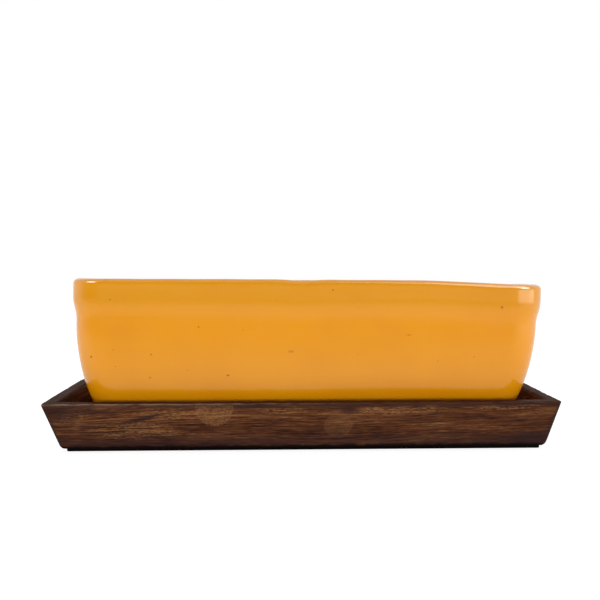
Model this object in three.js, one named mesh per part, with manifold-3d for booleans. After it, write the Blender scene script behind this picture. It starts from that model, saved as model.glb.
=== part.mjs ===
// Rectangular glazed ceramic planter standing in a splayed wooden drip tray.
//
// The planter is one fired clay body: a rolled rim band, walls that draw in towards a foot ring,
// three drain holes, and a notch in each side of the ring so that water can run out.
// The tray is four compound-mitred walls with a base board let into a rebate along their lower
// inside edge. The board stands a little proud below, and panel pins hold it to the walls.
// Millimetres, +Z up, +X along the length, -Y to the front, origin on the table under the tray's centre.

import * as THREE from "three";
import { ConvexGeometry } from "three/addons/geometries/ConvexGeometry.js";
import { mergeVertices } from "three/addons/utils/BufferGeometryUtils.js";
import Module from "manifold-3d";

const wasm = await Module();
wasm.setup();

// Planter, overall. An inset is measured level, inwards from the rim band's widest outline.
const potLength = 312.6;
const potWidth = 141;
const potHeight = 98.6;
const potCornerRadius = 25;
const cornerTaper = 0.5; // corner radius lost for each millimetre of inset
const sharpestCorner = 3;

// Planter, rim band and lip.
const bandHeight = 28.2;
const bandRise = 17; // height over which the band swells out of the wall
const bandProud = 2.1;
const lipThickness = 10;
const lipOuterRound = 3.8;
const lipFlat = 2.8;

// Planter, body and cavity.
const endBelly = 23.4; // how far the end walls draw in between the band and the foot
const sideBelly = 8; // the same for the long walls, which stand straighter
const floorThickness = 7;
const cavityFillet = 10;

// Planter, foot ring and drainage.
const footHeight = 3;
const footWidth = 12;
const footRound = 5;
const footDraft = 1;
const notchWidth = 16;
const notchHeight = 2.4;
const drainDiameter = 14;
const drainPitch = 84;
const drainCount = 3;

// Planter, what pressing and firing left untrue: the rim sags at its right end and stands high in front.
const rimLift = 2.6; // how far the rest of the rim stands above the right end
const liftFadeStart = 60; // the lift dies away along +X from here to the next value
const liftFadeEnd = 145;
const frontRise = 3;
const frontTilt = 1.9; // the front rim also falls by this much from its left end to its right
const rimDip = 0.75;
const rimDipAt = -5;
const rimDipReach = 9;
const stillHeight = 30; // the wall is true below this height
const footDrift = 2.7; // the foot stands this far left of the rim

// Tray.
const endMargin = 8.7; // planter rim to tray rim at each end, when centred
const sideMargin = 9.5; // planter rim to tray rim along each side
const trayHeight = 32.8;
const wallThickness = 8.4; // measured level
const wallLean = 15.7; // degrees out from upright
const traySkew = 1.5; // the tray's underside is glued up this far right of its rim
const wallCornerRound = 2.5;
const wallInnerCornerRound = 0.6;
const rimOuterEase = 0.9;
const rimInnerEase = 1.1;
const wallFootEase = 2.2;
const rebateLip = 2.8; // what is left of the wall outside the rebate
const rebateDepth = 3;
const baseThickness = 5;

// Tray, the knocked lower corner at the front right.
const knockAlongFront = 3.5;
const knockAlongEnd = 3.5;
const knockUp = 6;

// Panel pins that hold the base board to the walls.
const pinLength = 9;
const pinShank = 1.2;
const pinHead = 2;
const pinHeadThickness = 0.6;
const pinPoint = 1.6;
const pinEdgeDistance = 2; // pin line behind the base board's edge
const pinEndDistance = 20; // first pin from the base board's corner
const pinsPerLongSide = 5;
const pinsPerEnd = 2;

// Fits and placing.
const glueGap = 0.1;
const mitreGap = 0.2;
const pinGap = 0.2;
const potSeatGap = 0.2;
const potShift = 4.7; // the planter's rim stands this far right of the tray's centre

// Fineness of the curved surfaces.
const bendSteps = 7;
const arcSteps = 4;
const cornerSteps = 7;
const longSideSteps = 14;
const shortSideSteps = 5;
const roundSteps = 24;
const pinSteps = 12;

const trayLength = potLength + 2 * endMargin;
const trayWidth = potWidth + 2 * sideMargin;
const bandBottom = potHeight - bandHeight;
const cavityFloor = footHeight + floorThickness;
const leanSlope = Math.tan(THREE.MathUtils.degToRad(wallLean));
const rebateTop = baseThickness + glueGap;
const wallBottom = rebateTop - rebateDepth;
const wallFootInset = (trayHeight - wallBottom) * leanSlope;
const rebateInset = wallFootInset + rebateLip;
const baseInset = rebateInset + glueGap;
const skewed = new THREE.Matrix4()
  .makeShear(0, 0, 0, 0, -traySkew / trayHeight, 0)
  .setPosition(traySkew, 0, 0);

const glaze = new THREE.MeshStandardMaterial({ color: 0xe69a2c, roughness: 0.18, metalness: 0 });
const stainedWood = new THREE.MeshStandardMaterial({ color: 0x54321f, roughness: 0.5, metalness: 0 });
const basePly = new THREE.MeshStandardMaterial({ color: 0x2a1b14, roughness: 0.75, metalness: 0 });
const pinSteel = new THREE.MeshStandardMaterial({ color: 0x9a9a9c, roughness: 0.4, metalness: 1 });

/** Points round a rounded rectangle, anticlockwise from above, with the straight sides divided. */
function roundedRectangle(length, width, radius, longSteps, shortSteps) {
  const points = [];
  const reachX = length / 2 - radius;
  const reachY = width / 2 - radius;
  const corners = [
    [reachX, reachY],
    [-reachX, reachY],
    [-reachX, -reachY],
    [reachX, -reachY],
  ];
  corners.forEach(([centreX, centreY], quarter) => {
    for (let step = 0; step <= cornerSteps; step += 1) {
      const angle = (quarter + step / cornerSteps) * (Math.PI / 2);
      points.push([centreX + radius * Math.cos(angle), centreY + radius * Math.sin(angle)]);
    }
    const [startX, startY] = points[points.length - 1];
    const [nextX, nextY] = corners[(quarter + 1) % corners.length];
    const turned = (quarter + 1) * (Math.PI / 2);
    const endX = nextX + radius * Math.cos(turned);
    const endY = nextY + radius * Math.sin(turned);
    const sideSteps = quarter % 2 === 0 ? longSteps : shortSteps;
    for (let step = 1; step < sideSteps; step += 1) {
      const share = step / sideSteps;
      points.push([startX + (endX - startX) * share, startY + (endY - startY) * share]);
    }
  });
  return points;
}

/** Points along a path of lines and curves, each {x: inset, y: height}. */
function pathPoints(path) {
  const points = [path.curves[0].getPoint(0)];
  for (const curve of path.curves) {
    let steps = bendSteps;
    if (curve.isLineCurve) steps = 1;
    if (curve.isEllipseCurve) steps = arcSteps;
    for (let step = 1; step <= steps; step += 1) points.push(curve.getPoint(step / steps));
  }
  return points;
}

/** Skins a stack of rings. The first and last are capped, or joined to each other when endless. */
function skin(rings, endless) {
  const count = rings[0].length;
  const positions = rings.flat(2);
  const indices = [];
  const bands = endless ? rings.length : rings.length - 1;
  for (let band = 0; band < bands; band += 1) {
    const low = band * count;
    const high = ((band + 1) % rings.length) * count;
    for (let step = 0; step < count; step += 1) {
      const next = (step + 1) % count;
      indices.push(low + step, low + next, high + next, low + step, high + next, high + step);
    }
  }
  if (!endless) {
    const last = (rings.length - 1) * count;
    const middle = positions.length / 3;
    positions.push(0, 0, rings[0][0][2], 0, 0, rings[rings.length - 1][0][2]);
    for (let step = 0; step < count; step += 1) {
      const next = (step + 1) % count;
      indices.push(middle, next, step, middle + 1, last + step, last + next);
    }
  }
  const geometry = new THREE.BufferGeometry();
  geometry.setAttribute("position", new THREE.Float32BufferAttribute(positions, 3));
  geometry.setIndex(indices);
  return geometry;
}

/** A closed geometry as a solid that can be cut and joined. */
function toSolid(geometry) {
  const bare = geometry.clone();
  bare.deleteAttribute("normal");
  bare.deleteAttribute("uv");
  const merged = mergeVertices(bare, 1e-4);
  return new wasm.Manifold(
    new wasm.Mesh({
      numProp: 3,
      vertProperties: merged.attributes.position.array,
      triVerts: new Uint32Array(merged.index.array),
    }),
  );
}

/** A solid as a geometry. */
function toGeometry(solid) {
  const mesh = solid.getMesh();
  const geometry = new THREE.BufferGeometry();
  geometry.setAttribute("position", new THREE.BufferAttribute(mesh.vertProperties, 3));
  geometry.setIndex(new THREE.BufferAttribute(mesh.triVerts, 1));
  geometry.computeVertexNormals();
  return geometry;
}

/** An upright round cutter between two heights. */
function roundCutter(x, y, diameter, bottom, top, steps) {
  const cylinder = new THREE.CylinderGeometry(diameter / 2, diameter / 2, top - bottom, steps);
  cylinder.rotateX(Math.PI / 2).translate(x, y, (top + bottom) / 2);
  return toSolid(cylinder);
}

/** A named mesh. */
function piece(name, geometry, material) {
  const mesh = new THREE.Mesh(geometry, material);
  mesh.name = name;
  return mesh;
}

/** The planter's section: from the recess under the floor, up the outside, over the lip and down inside. */
function potSection() {
  const drawIn = endBelly / (bandBottom - footRound) ** 2;
  const footSlope = 2 * drawIn * (bandBottom - footRound);
  const bellyEnd = bandProud + endBelly;
  const footCorner = bellyEnd + footSlope * footRound;
  const footEdge = footCorner + footRound / 2;

  const filletTop = cavityFloor + cavityFillet;
  const innerEnd = lipThickness + drawIn * (bandBottom - filletTop) ** 2;
  const innerSlope = 2 * drawIn * (bandBottom - filletTop);
  const floorCorner = innerEnd + innerSlope * cavityFillet;
  const lipInnerRound = lipThickness - lipOuterRound - lipFlat;
  const bandMiddle = bandBottom + bandRise / 2;
  const bandTop = bandBottom + bandRise;

  const path = new THREE.Path();
  path.moveTo(footEdge + footWidth + footDraft, footHeight);
  path.lineTo(footEdge + footWidth, 0);
  path.lineTo(footEdge, 0);
  path.quadraticCurveTo(footCorner, 0, bellyEnd, footRound);
  path.quadraticCurveTo(bandProud, (bandBottom + footRound) / 2, bandProud, bandBottom);
  path.bezierCurveTo(bandProud, bandMiddle, 0, bandMiddle, 0, bandTop);
  path.lineTo(0, potHeight - lipOuterRound);
  path.absarc(lipOuterRound, potHeight - lipOuterRound, lipOuterRound, Math.PI, Math.PI / 2, true);
  path.lineTo(lipThickness - lipInnerRound, potHeight);
  path.absarc(lipThickness - lipInnerRound, potHeight - lipInnerRound, lipInnerRound, Math.PI / 2, 0, true);
  path.lineTo(lipThickness, bandBottom);
  path.quadraticCurveTo(lipThickness, (bandBottom + filletTop) / 2, innerEnd, filletTop);
  path.quadraticCurveTo(floorCorner, cavityFloor, floorCorner + cavityFillet, cavityFloor);
  return path;
}

/** How much less than the section's inset the long walls draw in at a height. */
function sideRelief(height) {
  const down = Math.max(bandBottom - height, 0) / (bandBottom - footRound);
  return (endBelly - sideBelly) * down ** 2;
}

/** How far pressing and firing left the wall above its true height. */
function rimError(x, y, height) {
  const { smoothstep } = THREE.MathUtils;
  const upTheWall = smoothstep(height, stillHeight, bandBottom);
  const towardsFront = smoothstep(-y, -potWidth / 2, potWidth / 2);
  const lift = rimLift * (1 - smoothstep(x, liftFadeStart, liftFadeEnd));
  const tilt = frontTilt * (0.5 - x / potLength);
  const dip = rimDip * Math.exp(-(((x - rimDipAt) / rimDipReach) ** 2));
  return upTheWall * (lift + towardsFront * (frontRise + tilt - dip));
}

/** Cuts water notches through the foot ring, one in the middle of each side. */
function footNotches() {
  const shape = new THREE.Shape();
  shape.moveTo(-notchWidth / 2, -footHeight);
  shape.lineTo(notchWidth / 2, -footHeight);
  shape.lineTo(notchWidth / 2, 0);
  shape.quadraticCurveTo(notchWidth / 2, notchHeight, 0, notchHeight);
  shape.quadraticCurveTo(-notchWidth / 2, notchHeight, -notchWidth / 2, 0);
  const across = new THREE.ExtrudeGeometry(shape, { depth: potWidth, bevelEnabled: false, curveSegments: 8 });
  across.translate(0, 0, -potWidth / 2).rotateX(Math.PI / 2);
  const along = new THREE.ExtrudeGeometry(shape, { depth: potLength, bevelEnabled: false, curveSegments: 8 });
  along.translate(0, 0, -potLength / 2).rotateX(Math.PI / 2).rotateZ(Math.PI / 2);
  return toSolid(across).add(toSolid(along));
}

/** The planter: section skinned round the plan, warped at the rim, then notched and drilled. */
function makePot() {
  const rings = pathPoints(potSection()).map(({ x: inset, y: height }) => {
    const length = potLength - 2 * inset;
    const width = potWidth - 2 * (inset - sideRelief(height));
    const radius = Math.max(potCornerRadius - cornerTaper * inset, sharpestCorner);
    const plan = roundedRectangle(length, width, radius, longSideSteps, shortSideSteps);
    const drift = footDrift * (1 - height / potHeight);
    return plan.map(([x, y]) => [x - drift, y, height + rimError(x, y, height)]);
  });
  let solid = toSolid(skin(rings, false)).subtract(footNotches());
  for (let hole = 0; hole < drainCount; hole += 1) {
    const x = (hole - (drainCount - 1) / 2) * drainPitch;
    solid = solid.subtract(roundCutter(x, 0, drainDiameter, 0, cavityFloor + cavityFillet, roundSteps));
  }
  return piece("planter_pot", toGeometry(solid), glaze);
}

/** The tray's corner radius in plan at a depth into the wall, from its outer face to its inner face. */
function wallPlanRadius(inset, height) {
  const faceInset = (trayHeight - height) * leanSlope;
  const depth = THREE.MathUtils.clamp((inset - faceInset) / wallThickness, 0, 1);
  return THREE.MathUtils.lerp(wallCornerRound, wallInnerCornerRound, depth);
}

/** Section of a tray wall, as {x: inset from the tray's rim outline, y: height}. */
function wallSection() {
  const footStart = wallFootInset - wallFootEase * leanSlope;
  const rimInnerEnd = wallThickness + rimInnerEase * leanSlope;

  const path = new THREE.Path();
  path.moveTo((trayHeight - rebateTop) * leanSlope + wallThickness, rebateTop);
  path.lineTo(rebateInset, rebateTop);
  path.lineTo(rebateInset, wallBottom);
  path.lineTo(wallFootInset + wallFootEase, wallBottom);
  path.quadraticCurveTo(wallFootInset, wallBottom, footStart, wallBottom + wallFootEase);
  path.lineTo(rimOuterEase * leanSlope, trayHeight - rimOuterEase);
  path.quadraticCurveTo(0, trayHeight, rimOuterEase, trayHeight);
  path.lineTo(wallThickness - rimInnerEase, trayHeight);
  path.quadraticCurveTo(wallThickness, trayHeight, rimInnerEnd, trayHeight - rimInnerEase);
  return pathPoints(path);
}

/** A wedge that keeps one wall of the tray's ring and ends at its two mitres. */
function mitreWedge(sideLength, otherLength) {
  const reach = wallFootInset + 2 * wallThickness;
  const outside = wallThickness;
  const half = sideLength / 2 - mitreGap * Math.SQRT1_2;
  const face = -otherLength / 2;
  const shape = new THREE.Shape();
  shape.moveTo(-half - outside, face - outside);
  shape.lineTo(half + outside, face - outside);
  shape.lineTo(half - reach, face + reach);
  shape.lineTo(-half + reach, face + reach);
  const wedge = new THREE.ExtrudeGeometry(shape, { depth: 2 * trayHeight, bevelEnabled: false });
  return wedge.translate(0, 0, -trayHeight / 2);
}

/** A cutter that takes the knocked corner off: flat through three points on the corner's edges. */
function cornerKnock() {
  const cornerX = trayLength / 2 - wallFootInset;
  const cornerY = -trayWidth / 2 + wallFootInset;
  const corner = new THREE.Vector3(cornerX, cornerY, wallBottom);
  const ends = [
    new THREE.Vector3(-knockAlongFront, 0, 0),
    new THREE.Vector3(0, knockAlongEnd, 0),
    new THREE.Vector3(knockUp * leanSlope, -knockUp * leanSlope, knockUp),
  ].map((edge) => edge.add(corner));
  const centre = new THREE.Vector3().add(ends[0]).add(ends[1]).add(ends[2]).divideScalar(ends.length);
  const spread = ends.map((end) => end.sub(centre).multiplyScalar(2).add(centre));
  const outside = corner.clone().sub(centre).multiplyScalar(4).add(corner);
  return toSolid(new ConvexGeometry([...spread, outside]).applyMatrix4(skewed));
}

/** Where each panel pin stands: {name, x, y}. */
function pinPlaces() {
  const boardHalfLength = trayLength / 2 - baseInset;
  const boardHalfWidth = trayWidth / 2 - baseInset;
  const lineX = boardHalfLength - pinEdgeDistance;
  const lineY = boardHalfWidth - pinEdgeDistance;
  const spread = (count, first, pin) => (count > 1 ? -first + (2 * first * pin) / (count - 1) : 0);
  const places = [];
  for (const [side, sign] of [["front", -1], ["back", 1]]) {
    for (let pin = 0; pin < pinsPerLongSide; pin += 1) {
      const x = spread(pinsPerLongSide, boardHalfLength - pinEndDistance, pin);
      places.push({ name: `base_pin_${side}_${pin + 1}`, x: traySkew + x, y: sign * lineY });
    }
  }
  for (const [side, sign] of [["left", -1], ["right", 1]]) {
    for (let pin = 0; pin < pinsPerEnd; pin += 1) {
      const y = spread(pinsPerEnd, boardHalfWidth - pinEndDistance, pin);
      places.push({ name: `base_pin_${side}_${pin + 1}`, x: traySkew + sign * lineX, y });
    }
  }
  return places;
}

/** One solid with every pin's hole, countersunk for the head at the underside. */
function pinHoles() {
  const shankHole = pinShank + 2 * pinGap;
  const headHole = pinHead + 2 * pinGap;
  const headTop = glueGap + pinHeadThickness + pinGap;
  return pinPlaces()
    .map(({ x, y }) => {
      const shank = roundCutter(x, y, shankHole, -pinGap, glueGap + pinLength + pinGap, pinSteps);
      return shank.add(roundCutter(x, y, headHole, -pinGap, headTop, pinSteps));
    })
    .reduce((all, hole) => all.add(hole));
}

/** The four mitred walls, cut from one ring so that their faces line up at the corners. */
function makeWalls(holes) {
  const rings = wallSection().map(({ x: inset, y: height }) => {
    const radius = wallPlanRadius(inset, height);
    const plan = roundedRectangle(trayLength - 2 * inset, trayWidth - 2 * inset, radius, 1, 1);
    return plan.map(([x, y]) => [x, y, height]);
  });
  const ring = toSolid(skin(rings, true).applyMatrix4(skewed));
  const drilled = ring.subtract(holes).subtract(cornerKnock());
  const sides = [
    ["tray_front_wall", mitreWedge(trayLength, trayWidth)],
    ["tray_right_wall", mitreWedge(trayWidth, trayLength)],
    ["tray_back_wall", mitreWedge(trayLength, trayWidth)],
    ["tray_left_wall", mitreWedge(trayWidth, trayLength)],
  ];
  return sides.map(([name, wedge], quarterTurns) => {
    wedge.rotateZ((quarterTurns * Math.PI) / 2).applyMatrix4(skewed);
    return piece(name, toGeometry(drilled.intersect(toSolid(wedge))), stainedWood);
  });
}

/** The board let into the walls' rebate. */
function makeBase(holes) {
  const radius = wallPlanRadius(rebateInset, wallBottom);
  const outline = roundedRectangle(trayLength - 2 * baseInset, trayWidth - 2 * baseInset, radius, 1, 1);
  const shape = new THREE.Shape(outline.map(([x, y]) => new THREE.Vector2(x, y)));
  const board = new THREE.ExtrudeGeometry(shape, { depth: baseThickness, bevelEnabled: false });
  const skewedBoard = toSolid(board.applyMatrix4(skewed));
  return piece("tray_base_board", toGeometry(skewedBoard.subtract(holes)), basePly);
}

/** Panel pins, each with its head just inside the board's underside. */
function makePins() {
  const profile = [
    [0, 0],
    [pinHead / 2, 0],
    [pinHead / 2, pinHeadThickness],
    [pinShank / 2, pinHeadThickness],
    [pinShank / 2, pinLength - pinPoint],
    [0, pinLength],
  ].map(([radius, height]) => new THREE.Vector2(radius, height));
  return pinPlaces().map(({ name, x, y }) => {
    const pin = piece(name, new THREE.LatheGeometry(profile, pinSteps).rotateX(Math.PI / 2), pinSteel);
    pin.position.set(x, y, glueGap);
    return pin;
  });
}

const holes = pinHoles();
const tray = new THREE.Group();
tray.add(...makeWalls(holes), makeBase(holes), ...makePins());

const pot = new THREE.Group();
pot.position.set(potShift, 0, baseThickness + potSeatGap);
pot.add(makePot());

const planter = new THREE.Group();
planter.add(tray, pot);

export default planter;
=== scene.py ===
"""Dresses a rectangular glazed planter that stands in a splayed wooden drip tray.

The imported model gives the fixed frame: every piece goes where it says. The planter, the four tray walls
and the base board are made here as fine surfaces of the same formulas, and the panel pins keep their own
meshes. Sizes are millimetres, as on the drawing, and become metres when a mesh is made. +Z is up and the
front is -Y.
"""

from __future__ import annotations

import logging
from dataclasses import dataclass, field, replace
from enum import Enum
from math import comb, cos, pi, radians, tan

import bmesh
import bpy
import numpy as np
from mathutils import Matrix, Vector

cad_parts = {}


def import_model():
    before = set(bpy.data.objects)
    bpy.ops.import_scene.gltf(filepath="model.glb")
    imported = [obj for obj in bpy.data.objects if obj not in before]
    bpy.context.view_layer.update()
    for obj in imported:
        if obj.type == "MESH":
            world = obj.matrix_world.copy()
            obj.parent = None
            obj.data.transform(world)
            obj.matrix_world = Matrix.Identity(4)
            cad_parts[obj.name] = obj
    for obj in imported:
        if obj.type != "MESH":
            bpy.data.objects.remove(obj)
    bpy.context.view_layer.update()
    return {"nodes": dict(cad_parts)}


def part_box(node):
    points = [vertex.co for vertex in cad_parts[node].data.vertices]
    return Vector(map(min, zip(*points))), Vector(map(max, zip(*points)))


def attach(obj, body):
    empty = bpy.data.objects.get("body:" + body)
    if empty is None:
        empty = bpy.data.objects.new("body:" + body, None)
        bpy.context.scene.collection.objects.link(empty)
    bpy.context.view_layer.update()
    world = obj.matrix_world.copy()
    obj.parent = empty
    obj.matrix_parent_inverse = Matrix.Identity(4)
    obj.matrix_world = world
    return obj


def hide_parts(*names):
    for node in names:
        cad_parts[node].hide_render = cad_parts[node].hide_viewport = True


LOG = logging.getLogger("planter")
MM = 0.001
MIDDLE = 0.5  # the value that every noise lies about
CORE = 0.3  # share of a spot's or strip's reach up to which it is full
MERGE_GAP = 0.002  # points of a mesh that lie closer than this become one
WAVE_SCALE = 0.05  # scale at which the wave texture repeats every 2 pi

Socket = bpy.types.NodeSocket
Point = tuple[float, float]
Place = tuple[float, float, float]
Colour = tuple[float, float, float, float]


class Body(Enum):
    """The two bodies of the frame."""

    TRAY = "tray"
    PLANTER = "planter"


class Slot(Enum):
    """The record's material slots."""

    GLAZE = "glaze"
    WOOD = "stained_wood"
    BASE = "base_board"
    STEEL = "pin_steel"


class Side(Enum):
    """The sides of the tray, each with its quarter turns from the front."""

    FRONT = 0
    RIGHT = 1
    BACK = 2
    LEFT = 3

    @property
    def word(self) -> str:
        """The side's name inside node names."""
        return self.name.lower()

    @property
    def across(self) -> bool:
        """True for the two short walls, which run front to back."""
        return self in (Side.RIGHT, Side.LEFT)


def srgb(red: int, green: int, blue: int) -> Colour:
    """Gives a screen colour of 0 to 255 as linear light with full opacity."""
    light = []
    for value in (red, green, blue):
        share = value / 255
        light.append(share / 12.92 if share <= 0.04045 else ((share + 0.055) / 1.055) ** 2.4)
    return (*light, 1.0)


def smoothstep(value: np.ndarray | float, low: float, high: float) -> np.ndarray:
    """Rises from 0 at low to 1 at high, level at both ends: 3 t squared minus 2 t cubed."""
    share = np.clip((value - low) / (high - low), 0.0, 1.0)
    return share * share * (3.0 - 2.0 * share)


@dataclass(frozen=True)
class Ripple:
    """Smooth unevenness between 0 and 1, made of sine waves with seeded directions.

    Attributes:
        seed: picks the directions and phases.
        longest: longest wavelength.
        shortest: shortest wavelength; those between are spaced evenly by ratio.
        waves: how many waves are added.
        flatten: share of each direction's height that is kept, so that below 1 the waves stand upright.
    """

    seed: int
    longest: float
    shortest: float
    waves: int = 8
    flatten: float = 1.0

    def at(self, points: np.ndarray) -> np.ndarray:
        """Adds the sines of each point's distance along each direction, and brings the sum to 0 to 1.

        Args:
            points: an array whose last axis is x, y, z.

        Returns:
            One value for each point.
        """
        draw = np.random.default_rng(self.seed)
        total = np.zeros(points.shape[:-1])
        for wavelength in np.geomspace(self.longest, self.shortest, self.waves):
            direction = draw.normal(size=3) * (1.0, 1.0, self.flatten)
            direction /= np.linalg.norm(direction)
            total += np.sin(2 * pi * (points @ direction) / wavelength + draw.uniform(0, 2 * pi))
        return np.clip(0.5 + 0.5 * total / np.sqrt(2 * self.waves), 0.0, 1.0)


@dataclass
class Profile:
    """A section drawn as joined curves. Each point is an inset from the outline and a height.

    Attributes:
        start: the first point.
        pieces: the curves so far, each an array of points without its first.
    """

    start: Point
    pieces: list[np.ndarray] = field(default_factory=list)

    def here(self) -> Point:
        """The point where the next curve starts."""
        return tuple(self.pieces[-1][-1]) if self.pieces else self.start

    def curve(self, *controls: Point, steps: int) -> Profile:
        """Adds a Bezier curve: every control point weighted by its Bernstein polynomial.

        Args:
            controls: one point for a line, two for a quadratic, three for a cubic; the last is the end.
            steps: how many points the curve gets.

        Returns:
            The profile itself.
        """
        points = [self.here(), *controls]
        degree = len(controls)
        share = np.linspace(0.0, 1.0, steps + 1)[1:, None]
        total = np.zeros((steps, 2))
        for order, point in enumerate(points):
            weight = comb(degree, order) * share**order * (1 - share) ** (degree - order)
            total = total + weight * np.array(point)
        self.pieces.append(total)
        return self

    def quarter(self, corner: Point, end: Point, steps: int) -> Profile:
        """Adds a quarter of a circle that rounds a square corner, by the sine and cosine of an even angle.

        Args:
            corner: the corner that is rounded.
            end: where the round ends.
            steps: how many points the round gets.

        Returns:
            The profile itself.
        """
        angle = np.linspace(0.0, pi / 2, steps + 1)[1:, None]
        from_start = np.array(self.here()) - corner
        to_end = np.array(end) - corner
        round_part = from_start * (1 - np.sin(angle)) + to_end * (1 - np.cos(angle))
        self.pieces.append(np.array(corner) + round_part)
        return self

    def points(self) -> np.ndarray:
        """All the points in order, one row each."""
        return np.vstack([np.array([self.start]), *self.pieces])


@dataclass(frozen=True)
class Plan:
    """Stations round a rounded rectangle, anticlockwise from above.

    Attributes:
        corner_steps: steps in each rounded corner.
        long_steps: steps along each long side.
        short_steps: steps along each short side.
    """

    corner_steps: int
    long_steps: int
    short_steps: int

    def stations(self) -> np.ndarray:
        """Gives each station's share of the corner centre's reach and of the radius.

        A corner station has its corner's signs and the cosine and sine of its angle. Stations on a straight
        side are spread evenly between the ends of two corners.

        Returns:
            Four rows: x sign, y sign, cosine and sine. The last two are also the outward direction.
        """
        signs = [(1, 1), (-1, 1), (-1, -1), (1, -1)]
        parts = []
        for quarter, (sign_x, sign_y) in enumerate(signs):
            angle = (quarter + np.linspace(0.0, 1.0, self.corner_steps + 1)) * pi / 2
            level = np.ones_like(angle)
            corner = np.stack([sign_x * level, sign_y * level, np.cos(angle), np.sin(angle)])
            following = corner[:, -1].copy()
            following[:2] = signs[(quarter + 1) % 4]
            steps = self.long_steps if quarter % 2 == 0 else self.short_steps
            share = np.arange(1, steps) / steps
            parts += [corner, corner[:, -1:] + (following - corner[:, -1])[:, None] * share]
        return np.hstack(parts)

    def rings(
        self,
        length: float,
        width: float,
        inset: np.ndarray,
        radius: np.ndarray,
        relief: np.ndarray | float = 0.0,
    ) -> np.ndarray:
        """Rounded rectangles, one for each inset: corner centre plus radius times the outward direction.

        Args:
            length: outline's length before the inset.
            width: outline's width before the inset.
            inset: how far each ring's ends lie inside the outline.
            radius: corner radius of each ring.
            relief: how much less than that the long sides lie inside.

        Returns:
            Rings by stations by x and y.
        """
        sign_x, sign_y, cosine, sine = self.stations()
        reach_x = (length / 2 - inset - radius)[:, None]
        reach_y = (width / 2 - inset + relief - radius)[:, None]
        x = sign_x * reach_x + cosine * radius[:, None]
        y = sign_y * reach_y + sine * radius[:, None]
        return np.stack([x, y], axis=-1)


def grid_faces(rows: int, columns: int, rows_close: bool, columns_close: bool) -> np.ndarray:
    """Quads between neighbours on a grid whose points are numbered row by row.

    Args:
        rows: number of rows.
        columns: number of columns.
        rows_close: whether the last row joins the first.
        columns_close: whether the last column joins the first.

    Returns:
        Four point numbers for each quad.
    """
    row = np.arange(rows if rows_close else rows - 1)[:, None]
    column = np.arange(columns if columns_close else columns - 1)[None, :]
    next_row = (row + 1) % rows
    next_column = (column + 1) % columns
    corners = [
        row * columns + column,
        row * columns + next_column,
        next_row * columns + next_column,
        next_row * columns + column,
    ]
    return np.stack(corners, axis=-1).reshape(-1, 4)


def make_mesh(
    name: str,
    points: np.ndarray,
    faces: list[list[int]],
    values: dict[str, np.ndarray] | None = None,
) -> bpy.types.Object:
    """Makes an object in metres from points in millimetres, with doubles merged and faces turned outwards.

    Args:
        name: the piece's name.
        points: x, y, z in millimetres, one row each.
        faces: point numbers of each face.
        values: attributes by name, with one value or one row of three for each point.

    Returns:
        The object, at the origin and in the scene.
    """
    mesh = bpy.data.meshes.new(name)
    mesh.from_pydata(points * MM, [], faces)
    for attribute, value in (values or {}).items():
        set_values(mesh, attribute, value)
    work = bmesh.new()
    work.from_mesh(mesh)
    bmesh.ops.remove_doubles(work, verts=work.verts, dist=MERGE_GAP * MM)
    bmesh.ops.recalc_face_normals(work, faces=work.faces)
    work.to_mesh(mesh)
    work.free()
    piece = bpy.data.objects.new(name, mesh)
    bpy.context.scene.collection.objects.link(piece)
    return piece


def solid_of_sections(
    name: str,
    sections: np.ndarray,
    values: dict[str, np.ndarray] | None = None,
) -> bpy.types.Object:
    """A solid skinned over a row of closed sections, with its two ends closed.

    Args:
        name: the piece's name.
        sections: sections by points by x, y, z.
        values: attributes by name, with one value or one row of three for each point.

    Returns:
        The object.
    """
    rows, columns, _ = sections.shape
    faces = grid_faces(rows, columns, rows_close=False, columns_close=True).tolist()
    faces.append(list(range(columns)))
    faces.append(list(range((rows - 1) * columns, rows * columns)))
    return make_mesh(name, sections.reshape(-1, 3), faces, values)


def round_bar(name: str, place: Point, outline: np.ndarray, steps: int) -> bpy.types.Object:
    """An upright turned solid: every radius and height carried round a circle.

    Args:
        name: the object's name.
        place: x and y of the axis.
        outline: radius and height, one row for each level.
        steps: steps round the circle.

    Returns:
        The object.
    """
    angle = np.linspace(0.0, 2 * pi, steps, endpoint=False)
    radius = outline[:, :1]
    x = place[0] + radius * np.cos(angle)
    y = place[1] + radius * np.sin(angle)
    z = np.broadcast_to(outline[:, 1:], x.shape)
    return solid_of_sections(name, np.stack([x, y, z], axis=-1))


def cut(piece: bpy.types.Object, cutters: list[bpy.types.Object]) -> None:
    """Cuts each solid out of the piece, and deletes the cutters.

    Args:
        piece: the object that is cut.
        cutters: the solids.
    """
    for cutter in cutters:
        modifier = piece.modifiers.new(cutter.name, "BOOLEAN")
        modifier.operation = "DIFFERENCE"
        modifier.solver = "MANIFOLD"
        modifier.object = cutter
    graph = bpy.context.evaluated_depsgraph_get()
    finished = bpy.data.meshes.new_from_object(piece.evaluated_get(graph))
    piece.modifiers.clear()
    piece.data = finished
    for cutter in cutters:
        bpy.data.objects.remove(cutter)


def mesh_points(mesh: bpy.types.Mesh) -> np.ndarray:
    """The mesh's points in millimetres, one row each."""
    flat = np.empty(len(mesh.vertices) * 3)
    mesh.vertices.foreach_get("co", flat)
    return flat.reshape(-1, 3) / MM


def set_values(mesh: bpy.types.Mesh, name: str, values: np.ndarray) -> None:
    """Stores one number, or one vector, for each point of the mesh.

    Args:
        mesh: the mesh.
        name: the attribute's name, which a material reads.
        values: one number for each point, or a last axis of three for a vector.
    """
    vector = values.shape[-1] == 3
    attribute = mesh.attributes.new(name, "FLOAT_VECTOR" if vector else "FLOAT", "POINT")
    attribute.data.foreach_set("vector" if vector else "value", values.astype(np.float32).ravel())


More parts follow.
